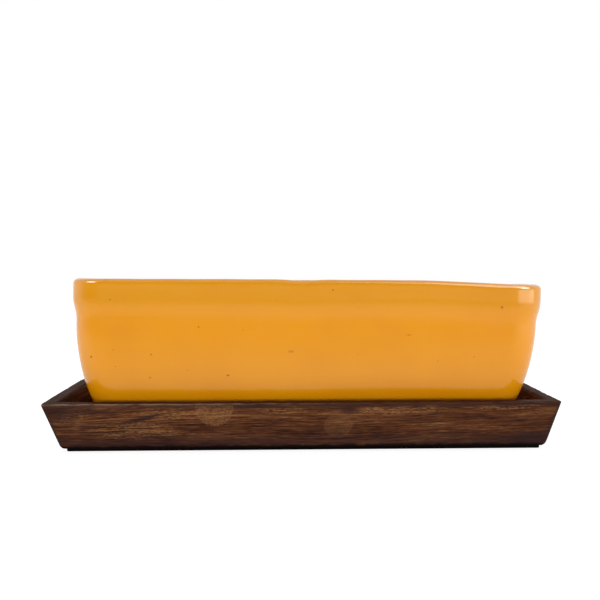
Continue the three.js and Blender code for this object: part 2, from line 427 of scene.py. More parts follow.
def smooth(piece: bpy.types.Object, angle: float) -> None:
    """Shades the piece smooth, but sharp where faces meet at more than the angle in degrees."""
    piece.data.shade_smooth()
    piece.data.set_sharp_from_angle(angle=radians(angle))


def dress(piece: bpy.types.Object, material: bpy.types.Material) -> None:
    """Gives the piece this material and no other."""
    piece.data.materials.clear()
    piece.data.materials.append(material)


def seat(piece: bpy.types.Object, body: Body, node: str) -> None:
    """Lets a piece ride on its body and puts it in place of a CAD node.

    Args:
        piece: the piece.
        body: the body that it rides on.
        node: the CAD node that it stands for.
    """
    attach(piece, body.value)
    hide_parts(node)
    LOG.info("%s rides on %s, %d faces", piece.name, body.value, len(piece.data.polygons))


@dataclass(frozen=True)
class Layer:
    """One noise pattern in a finish.

    Attributes:
        waves: how many waves it has in a metre along each axis.
        low: noise value at which it starts to show.
        high: noise value at which it shows in full.
        share: how strongly it shows there, 0 to 1.
        detail: how many octaves it has beyond the first.
        roughness: how strong each octave is next to the one before.
    """

    waves: Place
    low: float = 0.3
    high: float = 0.7
    share: float = 1.0
    detail: float = 2.0
    roughness: float = 0.5


@dataclass(frozen=True)
class Fade:
    """A smooth change from one number to another.

    Attributes:
        low: value where it starts.
        high: value where it ends.
        start: the number at low and below.
        end: the number at high and above.
    """

    low: float
    high: float
    start: float = 0.0
    end: float = 1.0


def evenly(waves: float) -> Place:
    """The same number of waves along every axis."""
    return (waves, waves, waves)


class Graph:
    """Builds one node tree in few words."""

    def __init__(self, tree: bpy.types.NodeTree) -> None:
        """Starts on an emptied tree."""
        self.tree = tree
        tree.nodes.clear()

    def node(
        self,
        kind: str,
        inputs: dict[str | int, object] | None = None,
        **settings: object,
    ) -> bpy.types.Node:
        """Adds a node.

        Args:
            kind: the node's type.
            inputs: a value or another node's socket for each input, by name or number.
            settings: the node's own settings.

        Returns:
            The node.
        """
        node = self.tree.nodes.new(kind)
        for name, setting in settings.items():
            setattr(node, name, setting)
        for name, value in (inputs or {}).items():
            if isinstance(value, Socket):
                self.tree.links.new(value, node.inputs[name])
            else:
                node.inputs[name].default_value = value
        return node

    def math(self, operation: str, first: Socket | float, second: Socket | float) -> Socket:
        """Result of one Math node."""
        return self.node("ShaderNodeMath", {0: first, 1: second}, operation=operation).outputs[0]

    def plus(self, first: Socket | float, second: Socket | float) -> Socket:
        """Sum of two numbers."""
        return self.math("ADD", first, second)

    def minus(self, first: Socket | float, second: Socket | float) -> Socket:
        """First number less the second."""
        return self.math("SUBTRACT", first, second)

    def times(self, first: Socket | float, second: Socket | float) -> Socket:
        """Product of two numbers."""
        return self.math("MULTIPLY", first, second)

    def larger(self, first: Socket | float, second: Socket | float) -> Socket:
        """The larger of two numbers."""
        return self.math("MAXIMUM", first, second)

    def between(self, share: Socket, first: Socket | float, second: Socket | float) -> Socket:
        """Number between first and second, by a share of 0 to 1."""
        return self.node("ShaderNodeMix", {0: share, 2: first, 3: second}).outputs[0]

    def mix(self, share: Socket | float, first: Socket | Colour, second: Socket | Colour) -> Socket:
        """Colour between first and second, by a share of 0 to 1."""
        return self.node("ShaderNodeMix", {0: share, 6: first, 7: second}, data_type="RGBA").outputs[2]

    def ease(
        self,
        value: Socket,
        low: float,
        high: float,
        start: Socket | float = 0.0,
        end: float = 1.0,
    ) -> Socket:
        """Goes smoothly from start, where the value is low, to end, where it is high.

        Args:
            value: the value that it follows.
            low: value where it starts.
            high: value where it ends.
            start: what it gives at low and below.
            end: what it gives at high and above.

        Returns:
            The number's socket.
        """
        inputs = {"Value": value, "From Min": low, "From Max": high, "To Min": start, "To Max": end}
        return self.node("ShaderNodeMapRange", inputs, interpolation_type="SMOOTHSTEP").outputs[0]

    def faded(self, value: Socket, fade: Fade) -> Socket:
        """A fade's number at the value."""
        return self.ease(value, fade.low, fade.high, fade.start, fade.end)

    def scaled(self, vector: Socket, factors: Place) -> Socket:
        """Vector with each axis multiplied by its factor."""
        return self.node("ShaderNodeVectorMath", {0: vector, 1: factors}, operation="MULTIPLY").outputs[0]

    def added(self, vector: Socket, other: Socket) -> Socket:
        """Sum of two vectors."""
        return self.node("ShaderNodeVectorMath", {0: vector, 1: other}, operation="ADD").outputs[0]

    def distance(self, vector: Socket, point: Place) -> Socket:
        """Distance from the point."""
        node = self.node("ShaderNodeVectorMath", {0: vector, 1: point}, operation="DISTANCE")
        return node.outputs["Value"]

    def parts(self, vector: Socket) -> bpy.types.NodeOutputs:
        """The vector's X, Y and Z."""
        return self.node("ShaderNodeSeparateXYZ", {0: vector}).outputs

    def pattern(self, vector: Socket, layer: Layer) -> Socket:
        """A layer's Perlin noise, 0 to 1."""
        inputs = {
            "Vector": self.scaled(vector, layer.waves),
            "Scale": 1.0,
            "Detail": layer.detail,
            "Roughness": layer.roughness,
        }
        return self.node("ShaderNodeTexNoise", inputs).outputs[0]

    def shown(self, noise: Socket, layer: Layer) -> Socket:
        """How strongly a layer shows, given its noise."""
        return self.ease(noise, layer.low, layer.high, 0.0, layer.share)

    def ramp(self, value: Socket, stops: tuple[tuple[float, Colour], ...]) -> Socket:
        """Colour ramp.

        Args:
            value: where on the ramp, 0 to 1.
            stops: place and linear colour of each stop.

        Returns:
            The colour socket.
        """
        node = self.node("ShaderNodeValToRGB", {0: value})
        elements = node.color_ramp.elements
        while len(elements) < len(stops):
            elements.new(MIDDLE)
        for element, (place, colour) in zip(elements, stops):
            element.position = place
            element.color = colour
        return node.outputs[0]

    def bump(self, height: Socket, depth: float) -> Socket:
        """Normal bent by a height of 0 to 1 that stands for a real depth in millimetres."""
        return self.node("ShaderNodeBump", {"Height": height, "Distance": depth * MM}).outputs[0]

    def here(self) -> Socket:
        """Object coordinates, which are metres in the row frame."""
        return self.node("ShaderNodeTexCoord").outputs["Object"]

    def number(self, name: str) -> Socket:
        """A mesh attribute that holds a number."""
        return self.node("ShaderNodeAttribute", attribute_name=name).outputs["Fac"]

    def vector(self, name: str) -> Socket:
        """A mesh attribute that holds a vector."""
        return self.node("ShaderNodeAttribute", attribute_name=name).outputs["Vector"]

    def surface(self, **inputs: object) -> None:
        """Ends the tree in a Principled shader with these inputs, underscores standing for spaces."""
        named = {name.replace("_", " "): value for name, value in inputs.items()}
        shader = self.node("ShaderNodeBsdfPrincipled", named)
        self.node("ShaderNodeOutputMaterial", {"Surface": shader.outputs[0]})


def new_material(name: str) -> tuple[bpy.types.Material, Graph]:
    """A new material and the builder of its nodes."""
    material = bpy.data.materials.new(name)
    material.use_nodes = True
    return material, Graph(material.node_tree)


@dataclass(frozen=True)
class Mark:
    """A blemish in the glaze.

    Attributes:
        x: place along the length, in the row frame.
        z: height in the row frame.
        radius: half its width.
        depth: how dark it is, 0 to 1.
        stretch: how many times longer than high it is.
    """

    x: float
    z: float
    radius: float
    depth: float
    stretch: float = 1.0


@dataclass(frozen=True)
class GlazeFinish:
    """Glossy mustard glaze over light clay.

    Attributes:
        full: colour where the glaze is full, on the wall.
        band: the same on the rim band, a little darker and greener: painted shade of the upright band,
            which takes less light.
        thick: colour where it pooled.
        thin: colour where it ran thin, over edges.
        foot: colour of the painted shade above the foot, where the tray keeps light off the glaze.
        clay: the bare clay of the foot.
        sand: the clay's darker grains.
        pit: the colour of pinholes and iron specks.
        clouds: where the glaze is thicker.
        levels: faint level bands where it is thinner.
        mottle: fine dots where it is thinner.
        crest_on_clouds: how much of the thin colour the lip's crest has, by the clouds.
        pinholes: how many cells there are in a metre that may hold a pinhole.
        pinhole_rarity: share of the cells that hold none.
        pinhole: how a pinhole fades out, by the distance from its middle as a share of a cell.
        dulling: where it is less glossy.
        roughness: roughness where it is glossiest.
        dulled: how much rougher it is where it is dullest.
        clay_roughness: how much rougher the bare clay is.
        fraying: how far the mottle frays the edge of the bare clay.
        bare_edge: how sharp that edge is.
        sandy: where the clay is darker, by the mottle.
        ripple: the faint ripple of its surface.
        ripple_depth: how deep the ripple is.
        pit_sink: how deep a pit is, as a share of that.
        refraction: refractive index.
    """

    full: Colour = srgb(236, 153, 7)
    band: Colour = srgb(226, 149, 5)
    thick: Colour = srgb(222, 134, 4)
    thin: Colour = srgb(238, 160, 28)
    foot: Colour = srgb(204, 120, 4)
    clay: Colour = srgb(206, 178, 146)
    sand: Colour = srgb(178, 146, 112)
    pit: Colour = srgb(60, 24, 2)
    clouds: Layer = Layer(evenly(14.0), low=0.42, high=0.72, share=0.35, detail=3.0)
    levels: Layer = Layer((3.0, 3.0, 70.0), low=0.45, high=0.75, share=0.22)
    mottle: Layer = Layer(evenly(420.0), low=0.5, high=0.8, share=0.05)
    crest_on_clouds: Fade = Fade(0.2, 0.8, start=0.35, end=0.65)
    pinholes: float = 46.0
    pinhole_rarity: float = 0.62
    pinhole: Fade = Fade(0.006, 0.02, start=0.7, end=0.0)
    dulling: Layer = Layer(evenly(60.0), low=0.3, high=0.8, detail=3.0)
    roughness: float = 0.13
    dulled: float = 0.06
    clay_roughness: float = 0.6
    fraying: float = 0.5
    bare_edge: Fade = Fade(0.45, 0.55)
    sandy: Fade = Fade(0.3, 0.75)
    ripple: Layer = Layer(evenly(45.0), detail=1.0)
    ripple_depth: float = 0.12
    pit_sink: float = 0.2
    refraction: float = 1.5

    def material(self, marks: list[tuple[Place, Mark]]) -> bpy.types.Material:
        """Glaze of uneven thickness with pinholes, bare clay below and a faint ripple.

        Args:
            marks: place of each blemish on the surface, and the blemish.

        Returns:
            The material.
        """
        material, graph = new_material("mustard_glaze")
        place = graph.here()
        grain = graph.pattern(place, self.mottle)
        pits = self.pits(graph, place, marks)
        colour = graph.mix(pits, self.colour(graph, place, grain), self.pit)
        clay = graph.mix(graph.faded(grain, self.sandy), self.clay, self.sand)
        uncovered = self.uncovered(graph, grain)
        colour = graph.mix(uncovered, colour, clay)
        dull = graph.shown(graph.pattern(place, self.dulling), self.dulling)
        roughness = graph.plus(graph.times(dull, self.dulled), self.roughness)
        roughness = graph.plus(roughness, graph.times(uncovered, self.clay_roughness))
        height = graph.minus(graph.pattern(place, self.ripple), graph.times(pits, self.pit_sink))
        normal = graph.bump(height, self.ripple_depth)
        graph.surface(Base_Color=colour, Roughness=roughness, IOR=self.refraction, Normal=normal)
        return material

    def colour(self, graph: Graph, place: Socket, grain: Socket) -> Socket:
        """Colour of the sound glaze: thicker in clouds, thinner in levels, dots and over the lip's crest,
        with painted shade on the rim band and above the foot.

        Args:
            graph: the material's builder.
            place: Object coordinates.
            grain: the mottle's noise.

        Returns:
            The colour socket.
        """
        cloud = graph.pattern(place, self.clouds)
        level = graph.pattern(place, self.levels)
        # painted shade on the upright rim band
        colour = graph.mix(graph.number("band"), self.full, self.band)
        colour = graph.mix(graph.shown(cloud, self.clouds), colour, self.thick)
        colour = graph.mix(graph.shown(level, self.levels), colour, self.thin)
        colour = graph.mix(graph.shown(grain, self.mottle), colour, self.thin)
        crest = graph.times(graph.number("crest"), graph.faded(cloud, self.crest_on_clouds))
        colour = graph.mix(crest, colour, self.thin)
        # painted shade above the foot, where the tray keeps light off the glaze, deepest at the left end
        return graph.mix(graph.number("low_shade"), colour, self.foot)

    def uncovered(self, graph: Graph, grain: Socket) -> Socket:
        """Where the clay is bare, with the glaze's edge frayed by the mottle's noise."""
        fraying = graph.times(graph.minus(grain, MIDDLE), self.fraying)
        return graph.faded(graph.plus(graph.number("bare"), fraying), self.bare_edge)

    def pits(self, graph: Graph, place: Socket, marks: list[tuple[Place, Mark]]) -> Socket:
        """Share of pit colour: a soft spot at each mark, and a sparse scatter of pinholes elsewhere.

        Args:
            graph: the material's builder.
            place: Object coordinates.
            marks: place of each blemish, and the blemish.

        Returns:
            A socket of 0 to 1.
        """
        cells = graph.node("ShaderNodeTexVoronoi", {"Vector": place, "Scale": self.pinholes}).outputs
        chosen = graph.math("GREATER_THAN", cells["Color"], self.pinhole_rarity)
        total = graph.times(graph.faded(cells["Distance"], self.pinhole), chosen)
        for point, mark in marks:
            squeeze = (1.0 / mark.stretch, 1.0, 1.0)
            near = tuple(value * MM * factor for value, factor in zip(point, squeeze))
            gap = graph.distance(graph.scaled(place, squeeze), near)
            radius = mark.radius * MM
            total = graph.larger(total, graph.ease(gap, CORE * radius, radius, mark.depth, 0.0))
        return total


@dataclass(frozen=True)
class WornPatch:
    """A round place where the stain has worn lighter.

    Attributes:
        centre: its middle, in the row frame.
        radius: its radius.
        strength: how much lighter, 0 to 1.
        speckle: how much of that is fine dots, 0 to 1.
    """

    centre: Place
    radius: float
    strength: float
    speckle: float


@dataclass(frozen=True)
class Zone:
    """A soft-edged long oval on the front wall.

    Attributes:
        centre: its middle, in the row frame.
        half_length: half its length.
        half_height: half its height.
        strength: how strongly it counts, 0 to 1.
        tilt: by how many degrees its right end is raised.
    """

    centre: Place
    half_length: float
    half_height: float
    strength: float
    tilt: float = 0.0

    def distance(self, graph: Graph, place: Socket) -> Socket:
        """Distance from the oval's middle, after it is turned level and squeezed so that its edge is at 1.

        Args:
            graph: the material's builder.
            place: Object coordinates.

        Returns:
            The number's socket.
        """
        centre = tuple(value * MM for value in self.centre)
        inputs = {"Vector": place, "Center": centre, "Angle": radians(self.tilt)}
        level = graph.node("ShaderNodeVectorRotate", inputs, rotation_type="Y_AXIS").outputs[0]
        squeeze = (1 / (self.half_length * MM), 1 / (self.half_height * MM), 1 / (self.half_height * MM))
        middle = tuple(value * factor for value, factor in zip(centre, squeeze))
        return graph.distance(graph.scaled(level, squeeze), middle)


@dataclass(frozen=True)
class Strip:
    """A darker strip along one edge of a board.

    Attributes:
        edge: the mesh attribute that holds the distance from that edge in metres.
        width: how wide the strip is.
        share: how strongly it is darkened, 0 to 1.
        colour: the strip's colour.
    """

    edge: str
    width: float
    share: float
    colour: Colour


@dataclass(frozen=True)
class WoodFinish:
    """Walnut-brown stained wood with a thin satin lacquer.

    The grain reads the attribute board: metres along the board, into it and up its face. The attributes
    from_end, from_top and from_foot are distances in metres from the board's edges.

    Attributes:
        dark: late wood.
        middle: the general colour.
        light: early wood.
        gold: flecks where the figure catches the light.
        edge: darker colour along the board's ends, top and foot.
        foot: painted shadow along the foot, near black.
        rim: colour of the rim's top, painted shade where the pot and the dim room above keep light off it.
        rim_shade_share: how much of that painted shade the rim's top has.
        arris_highlight: painted highlight along the rim's outer arris, where it catches the light.
        patch: colour of worn places.
        stops: the figure's colours from its lowest to its highest value.
        flow: how the grain wanders up and down the board.
        flow_drop: how far it wanders at most.
        tone: the figure's broad bands.
        streak: its streaks.
        fibre: its finest lines.
        fleck: golden flecks.
        pore: open pores.
        flecks_on_tone: how thick the flecks are outside their zones, by the bands.
        flecks_on_streak: how thick they are by the streaks.
        stain_on_tone: how dark the stain is outside its zones, by the bands.
        stain_on_streak: how dark it is by the streaks.
        zone_ragged: what frays the zones.
        zone_fade: how a zone fades out, by the distance from its middle.
        patch_ragged: what frays the worn places.
        patch_wobble: how far it frays them at most.
        patch_fade: how far outside its radius a worn place fades out.
        dots: how many dots there are in a metre of a worn place.
        dot_fade: which of the dots show, by their random value.
        strip_ragged: what frays the strips.
        strip_reach: how much narrower or wider it makes them.
        arris_highlight_on_ragged: how much it leaves of the arris's painted highlight.
        patches: the worn places.
        flecked: where the flecks are thickest.
        stained: ovals where the stain is darkest; the first darkens the knocked lower right corner.
        strips: darker strips along the board's edges; the last is painted shadow along the foot.
        roughness: how rough the face is by its streaks.
        shine: how much the face reflects; the rim and the foot are duller.
        rim_shine: share of that on the rim.
        dull_foot: how far up from the foot it is duller.
        fibre_relief: how much the finest lines count in the grain's relief, next to the streaks.
        relief_depth: how deep the relief is.
        quiet: how much of the figure's contrast is left at the right.
        quiet_from: where along the tray the figure starts to grow quieter.
        quiet_to: where it is quietest.
    """

    dark: Colour = srgb(40, 18, 9)
    middle: Colour = srgb(76, 41, 22)
    light: Colour = srgb(100, 60, 34)
    gold: Colour = srgb(150, 104, 64)
    edge: Colour = srgb(46, 27, 26)
    foot: Colour = srgb(9, 5, 5)
    rim: Colour = srgb(58, 31, 14)
    rim_shade_share: float = 0.85
    arris_highlight: Colour = srgb(160, 128, 106)
    patch: Colour = srgb(130, 90, 56)
    stops: tuple[tuple[float, Colour], ...] = ((0.39, dark), (0.49, middle), (0.60, light), (0.74, gold))
    flow: Layer = Layer((8.0, 30.0, 30.0))
    flow_drop: float = 10.0
    tone: Layer = Layer((9.0, 70.0, 110.0), share=0.36)
    streak: Layer = Layer((34.0, 620.0, 960.0), share=0.64, detail=3.0, roughness=0.65)
    fibre: Layer = Layer((120.0, 1500.0, 2100.0), share=0.42)
    fleck: Layer = Layer((360.0, 2000.0, 2600.0), low=0.44, high=0.56)
    pore: Layer = Layer((160.0, 2600.0, 3200.0), low=0.60, high=0.70, share=0.6, detail=1.0)
    flecks_on_tone: Fade = Fade(0.45, 0.75, start=0.0, end=0.4)
    flecks_on_streak: Fade = Fade(0.42, 0.56, start=0.1, end=1.0)
    stain_on_tone: Fade = Fade(0.28, 0.42, start=0.35, end=0.0)
    stain_on_streak: Fade = Fade(0.35, 0.7, start=1.0, end=0.6)
    zone_ragged: Layer = Layer((60.0, 300.0, 300.0))
    zone_fade: Point = (0.9, 1.6)
    patch_ragged: Layer = Layer(evenly(90.0), detail=3.0)
    patch_wobble: float = 2.0
    patch_fade: float = 1.2
    dots: float = 1400.0
    dot_fade: Point = (0.38, 0.60)
    strip_ragged: Layer = Layer((120.0, 300.0, 300.0))
    strip_reach: Fade = Fade(0.3, 0.7, start=0.75, end=1.25)
    arris_highlight_on_ragged: Fade = Fade(0.3, 0.6, start=0.25, end=1.0)
    patches: tuple[WornPatch, ...] = (
        WornPatch(centre=(-56.3, -78.9, 29.0), radius=12.2, strength=0.64, speckle=0.8),
        WornPatch(centre=(22.2, -75.6, 17.6), radius=9.2, strength=0.24, speckle=0.35),
    )
    flecked: tuple[Zone, ...] = (
        Zone((-108.0, -75.0, 15.0), 36.0, 8.0, 0.8),
        Zone((-86.0, -78.0, 26.0), 28.0, 5.5, 0.7),
        Zone((-145.0, -77.0, 22.0), 14.0, 9.0, 0.5),
        Zone((-14.0, -78.5, 27.6), 20.0, 2.6, 0.7),
        Zone((62.0, -78.5, 27.3), 36.0, 3.6, 0.9),
        Zone((130.0, -79.0, 29.2), 30.0, 2.4, 0.8),
    )
    stained: tuple[Zone, ...] = (
        # darkens the lower right corner, over the knocked corner's facet
        Zone((153.0, -74.0, 5.5), 44.0, 11.0, 0.95, tilt=16.0),
        Zone((-152.0, -78.0, 27.0), 13.0, 9.0, 0.65),
        Zone((-103.0, -77.0, 22.5), 24.0, 1.8, 0.95, tilt=15.0),
        Zone((-137.0, -76.5, 16.5), 20.0, 1.8, 0.8, tilt=8.0),
        Zone((-136.0, -78.5, 28.0), 20.0, 2.4, 0.7),
        Zone((-29.0, -79.0, 31.0), 12.0, 2.2, 0.7),
        Zone((28.5, -78.5, 27.5), 7.0, 3.4, 0.7),
    )
    strips: tuple[Strip, ...] = (
        # darker strips along the ends, top and foot
        Strip("from_end", 3.6, 0.85, edge),
        Strip("from_top", 4.0, 0.65, edge),
        Strip("from_foot", 13.0, 0.6, edge),
        # painted shadow along the foot, near black
        Strip("from_foot", 3.2, 0.95, foot),
    )
    roughness: Fade = Fade(0.3, 0.8, start=0.52, end=0.38)
    shine: float = 0.05
    rim_shine: float = 0.2
    dull_foot: float = 4.0
    fibre_relief: float = 0.5
    relief_depth: float = 0.16
    quiet: float = 0.88
    quiet_from: float = -30.0
    quiet_to: float = 60.0

    def material(self) -> bpy.types.Material:
        """Figure, flecks and pores drawn out along the board, under stain that is darker at the edges.

        Returns:
            The material.
        """
        material, graph = new_material("stained_walnut")
        place = graph.here()
        board = graph.vector("board")
        drop = graph.times(graph.pattern(board, self.flow), self.flow_drop * MM)
        bent = graph.added(board, graph.node("ShaderNodeCombineXYZ", {"Z": drop}).outputs[0])
        tone = graph.pattern(bent, self.tone)
        streak = graph.pattern(bent, self.streak)
        fibre = graph.pattern(bent, self.fibre)
        fleck = graph.shown(graph.pattern(bent, self.fleck), self.fleck)
        pore = graph.shown(graph.pattern(bent, self.pore), self.pore)

        colour = graph.ramp(self.figure(graph, place, tone, streak, fibre), self.stops)
        flecked = self.cover(graph, place, self.flecked, graph.faded(tone, self.flecks_on_tone))
        flecked = graph.times(flecked, graph.faded(streak, self.flecks_on_streak))
        colour = graph.mix(graph.times(fleck, flecked), colour, self.gold)
        stained = self.cover(graph, place, self.stained, graph.faded(tone, self.stain_on_tone))
        stained = graph.times(stained, graph.faded(streak, self.stain_on_streak))
        colour = graph.mix(stained, colour, self.edge)
        colour = graph.mix(pore, colour, self.dark)
        for patch in self.patches:
            colour = self.wear(graph, place, colour, patch)
        colour = self.edges(graph, board, colour)

        relief = graph.minus(graph.plus(streak, graph.times(fibre, self.fibre_relief)), pore)
        shine = graph.ease(graph.number("rim"), 0.0, 1.0, self.shine, self.rim_shine * self.shine)
        shine = graph.times(shine, graph.ease(graph.number("from_foot"), 0.0, self.dull_foot * MM))
        graph.surface(
            Base_Color=colour,
            Roughness=graph.faded(streak, self.roughness),
            Specular_IOR_Level=shine,
            Normal=graph.bump(relief, self.relief_depth),
        )
        return material

    def figure(self, graph: Graph, place: Socket, tone: Socket, streak: Socket, fibre: Socket) -> Socket:
        """Adds up bands, streaks and fibres, with less contrast towards the right.

        Args:
            graph: the material's builder.
            place: Object coordinates.
            tone: noise of the broad bands.
            streak: noise of the streaks.
            fibre: noise of the finest lines.

        Returns:
            A socket of about 0 to 1.
        """
        broad = graph.plus(graph.times(tone, self.tone.share), graph.times(streak, self.streak.share))
        fine = graph.times(graph.minus(fibre, MIDDLE), self.fibre.share)
        along = graph.parts(place)["X"]
        contrast = graph.ease(along, self.quiet_from * MM, self.quiet_to * MM, 1.0, self.quiet)
        offset = graph.minus(graph.plus(broad, fine), MIDDLE)
        return graph.plus(graph.times(offset, contrast), MIDDLE)

    def cover(self, graph: Graph, place: Socket, zones: tuple[Zone, ...], elsewhere: Socket) -> Socket:
        """How strongly the zones count at each point: the strongest oval there, or else the value outside.

        Args:
            graph: the material's builder.
            place: Object coordinates.
            zones: the ovals.
            elsewhere: what counts outside them.

        Returns:
            A socket of 0 to 1.
        """
        ragged = graph.pattern(place, self.zone_ragged)
        total = elsewhere
        for zone in zones:
            gap = graph.plus(zone.distance(graph, place), ragged)
            total = graph.larger(total, graph.ease(gap, *self.zone_fade, zone.strength, 0.0))
        return total

    def wear(self, graph: Graph, place: Socket, colour: Socket, patch: WornPatch) -> Socket:
        """Lightens a round place, partly in fine dots.

        Args:
            graph: the material's builder.
            place: Object coordinates.
            colour: the colour so far.
            patch: the worn place.

        Returns:
            The new colour.
        """
        centre = tuple(value * MM for value in patch.centre)
        wobble = graph.times(graph.pattern(place, self.patch_ragged), self.patch_wobble * MM)
        gap = graph.plus(graph.distance(place, centre), wobble)
        inside = graph.ease(gap, patch.radius * MM, (patch.radius + self.patch_fade) * MM, 1.0, 0.0)
        cells = graph.node("ShaderNodeTexVoronoi", {"Vector": place, "Scale": self.dots}).outputs["Color"]
        dots = graph.ease(cells, *self.dot_fade, 1.0 - patch.speckle, 1.0)
        return graph.mix(graph.times(graph.times(inside, dots), patch.strength), colour, self.patch)

    def edges(self, graph: Graph, board: Socket, colour: Socket) -> Socket:
        """Darkens the board's ends, top and foot, with painted shadow along the foot, and lays painted
        shade evenly over the rim up to the painted highlight along its outer arris.

        Args:
            graph: the material's builder.
            board: board coordinates.
            colour: the colour so far.

        Returns:
            The new colour.
        """
        ragged = graph.pattern(board, self.strip_ragged)
        reach = graph.faded(ragged, self.strip_reach)
        for strip in self.strips:
            gap = graph.math("DIVIDE", graph.number(strip.edge), reach)
            width = strip.width * MM
            colour = graph.mix(graph.ease(gap, CORE * width, width, strip.share, 0.0), colour, strip.colour)
        # painted shade on the rim's top
        colour = graph.mix(graph.times(graph.number("rim"), self.rim_shade_share), colour, self.rim)
        # painted highlight along the rim's outer arris
        arris_highlight = graph.times(graph.number("arris_highlight"), graph.faded(ragged, self.arris_highlight_on_ragged))
        return graph.mix(arris_highlight, colour, self.arris_highlight)


@dataclass(frozen=True)
class BaseFinish:
    """Matte plywood painted near black: painted shadow on the board under the tray's walls.

    Attributes:
        dark: darkest streaks.
        middle: the general colour.
        stops: both colours by the strength of streaks and stripes.
        streak: fine streaks along the length.
        layers: number of ply layers in a metre of thickness.
        stripe_share: how much of the pattern is stripes, the rest being streaks.
        roughness: how rough it is by its streaks.
        shine: how much it reflects.
        relief_depth: how deep the streaks are.
    """

    # near black: painted shadow on the board under the walls
    dark: Colour = srgb(6, 3, 3)
    middle: Colour = srgb(15, 9, 8)
    stops: tuple[tuple[float, Colour], ...] = ((0.32, dark), (0.68, middle))
    streak: Layer = Layer((12.0, 420.0, 60.0), detail=4.0, roughness=0.6)
    layers: float = 830.0
    stripe_share: float = 0.15
    roughness: Fade = Fade(0.3, 0.7, start=0.85, end=0.7)
    shine: float = 0.03
    relief_depth: float = 0.1

    def material(self) -> bpy.types.Material:
        """Fine streaks along the length, with the layers showing as stripes where they are cut.

        Returns:
            The material.
        """
        material, graph = new_material("shadowed_ply")
        place = graph.here()
        streak = graph.pattern(place, self.streak)
        inputs = {"Vector": graph.scaled(place, (1.0, 1.0, self.layers * 2 * pi)), "Scale": WAVE_SCALE}
        stripe = graph.node("ShaderNodeTexWave", inputs, bands_direction="Z").outputs["Fac"]
        streaks = graph.times(streak, 1.0 - self.stripe_share)
        share = graph.plus(streaks, graph.times(stripe, self.stripe_share))
        graph.surface(
            Base_Color=graph.ramp(share, self.stops),
            Roughness=graph.faded(streak, self.roughness),
            Specular_IOR_Level=self.shine,
            Normal=graph.bump(streak, self.relief_depth),
        )
        return material


@dataclass(frozen=True)
class SteelFinish:
    """Plain drawn wire.

    Attributes:
        bright: clean steel.
        dull: where it has tarnished.
        marks: drawing marks along the pin.
        tarnish: where it has tarnished.
        roughness: how rough it is by its marks.
        mark_depth: how deep the marks are.
    """

    bright: Colour = srgb(198, 198, 200)
    dull: Colour = srgb(150, 144, 138)
    marks: Layer = Layer((4000.0, 4000.0, 200.0))
    tarnish: Layer = Layer(evenly(900.0), low=0.4, high=0.7)
    roughness: Fade = Fade(0.3, 0.7, start=0.28, end=0.46)
    mark_depth: float = 0.02

    def material(self) -> bpy.types.Material:
        """Steel with drawing marks along the pin and a little tarnish.

        Returns:
            The material.
        """
        material, graph = new_material("pin_wire")
        place = graph.here()
        marks = graph.pattern(place, self.marks)
        tarnish = graph.shown(graph.pattern(place, self.tarnish), self.tarnish)
        graph.surface(
            Base_Color=graph.mix(tarnish, self.bright, self.dull),
            Metallic=1.0,
            Roughness=graph.faded(marks, self.roughness),
            Normal=graph.bump(marks, self.mark_depth),
        )
        return material


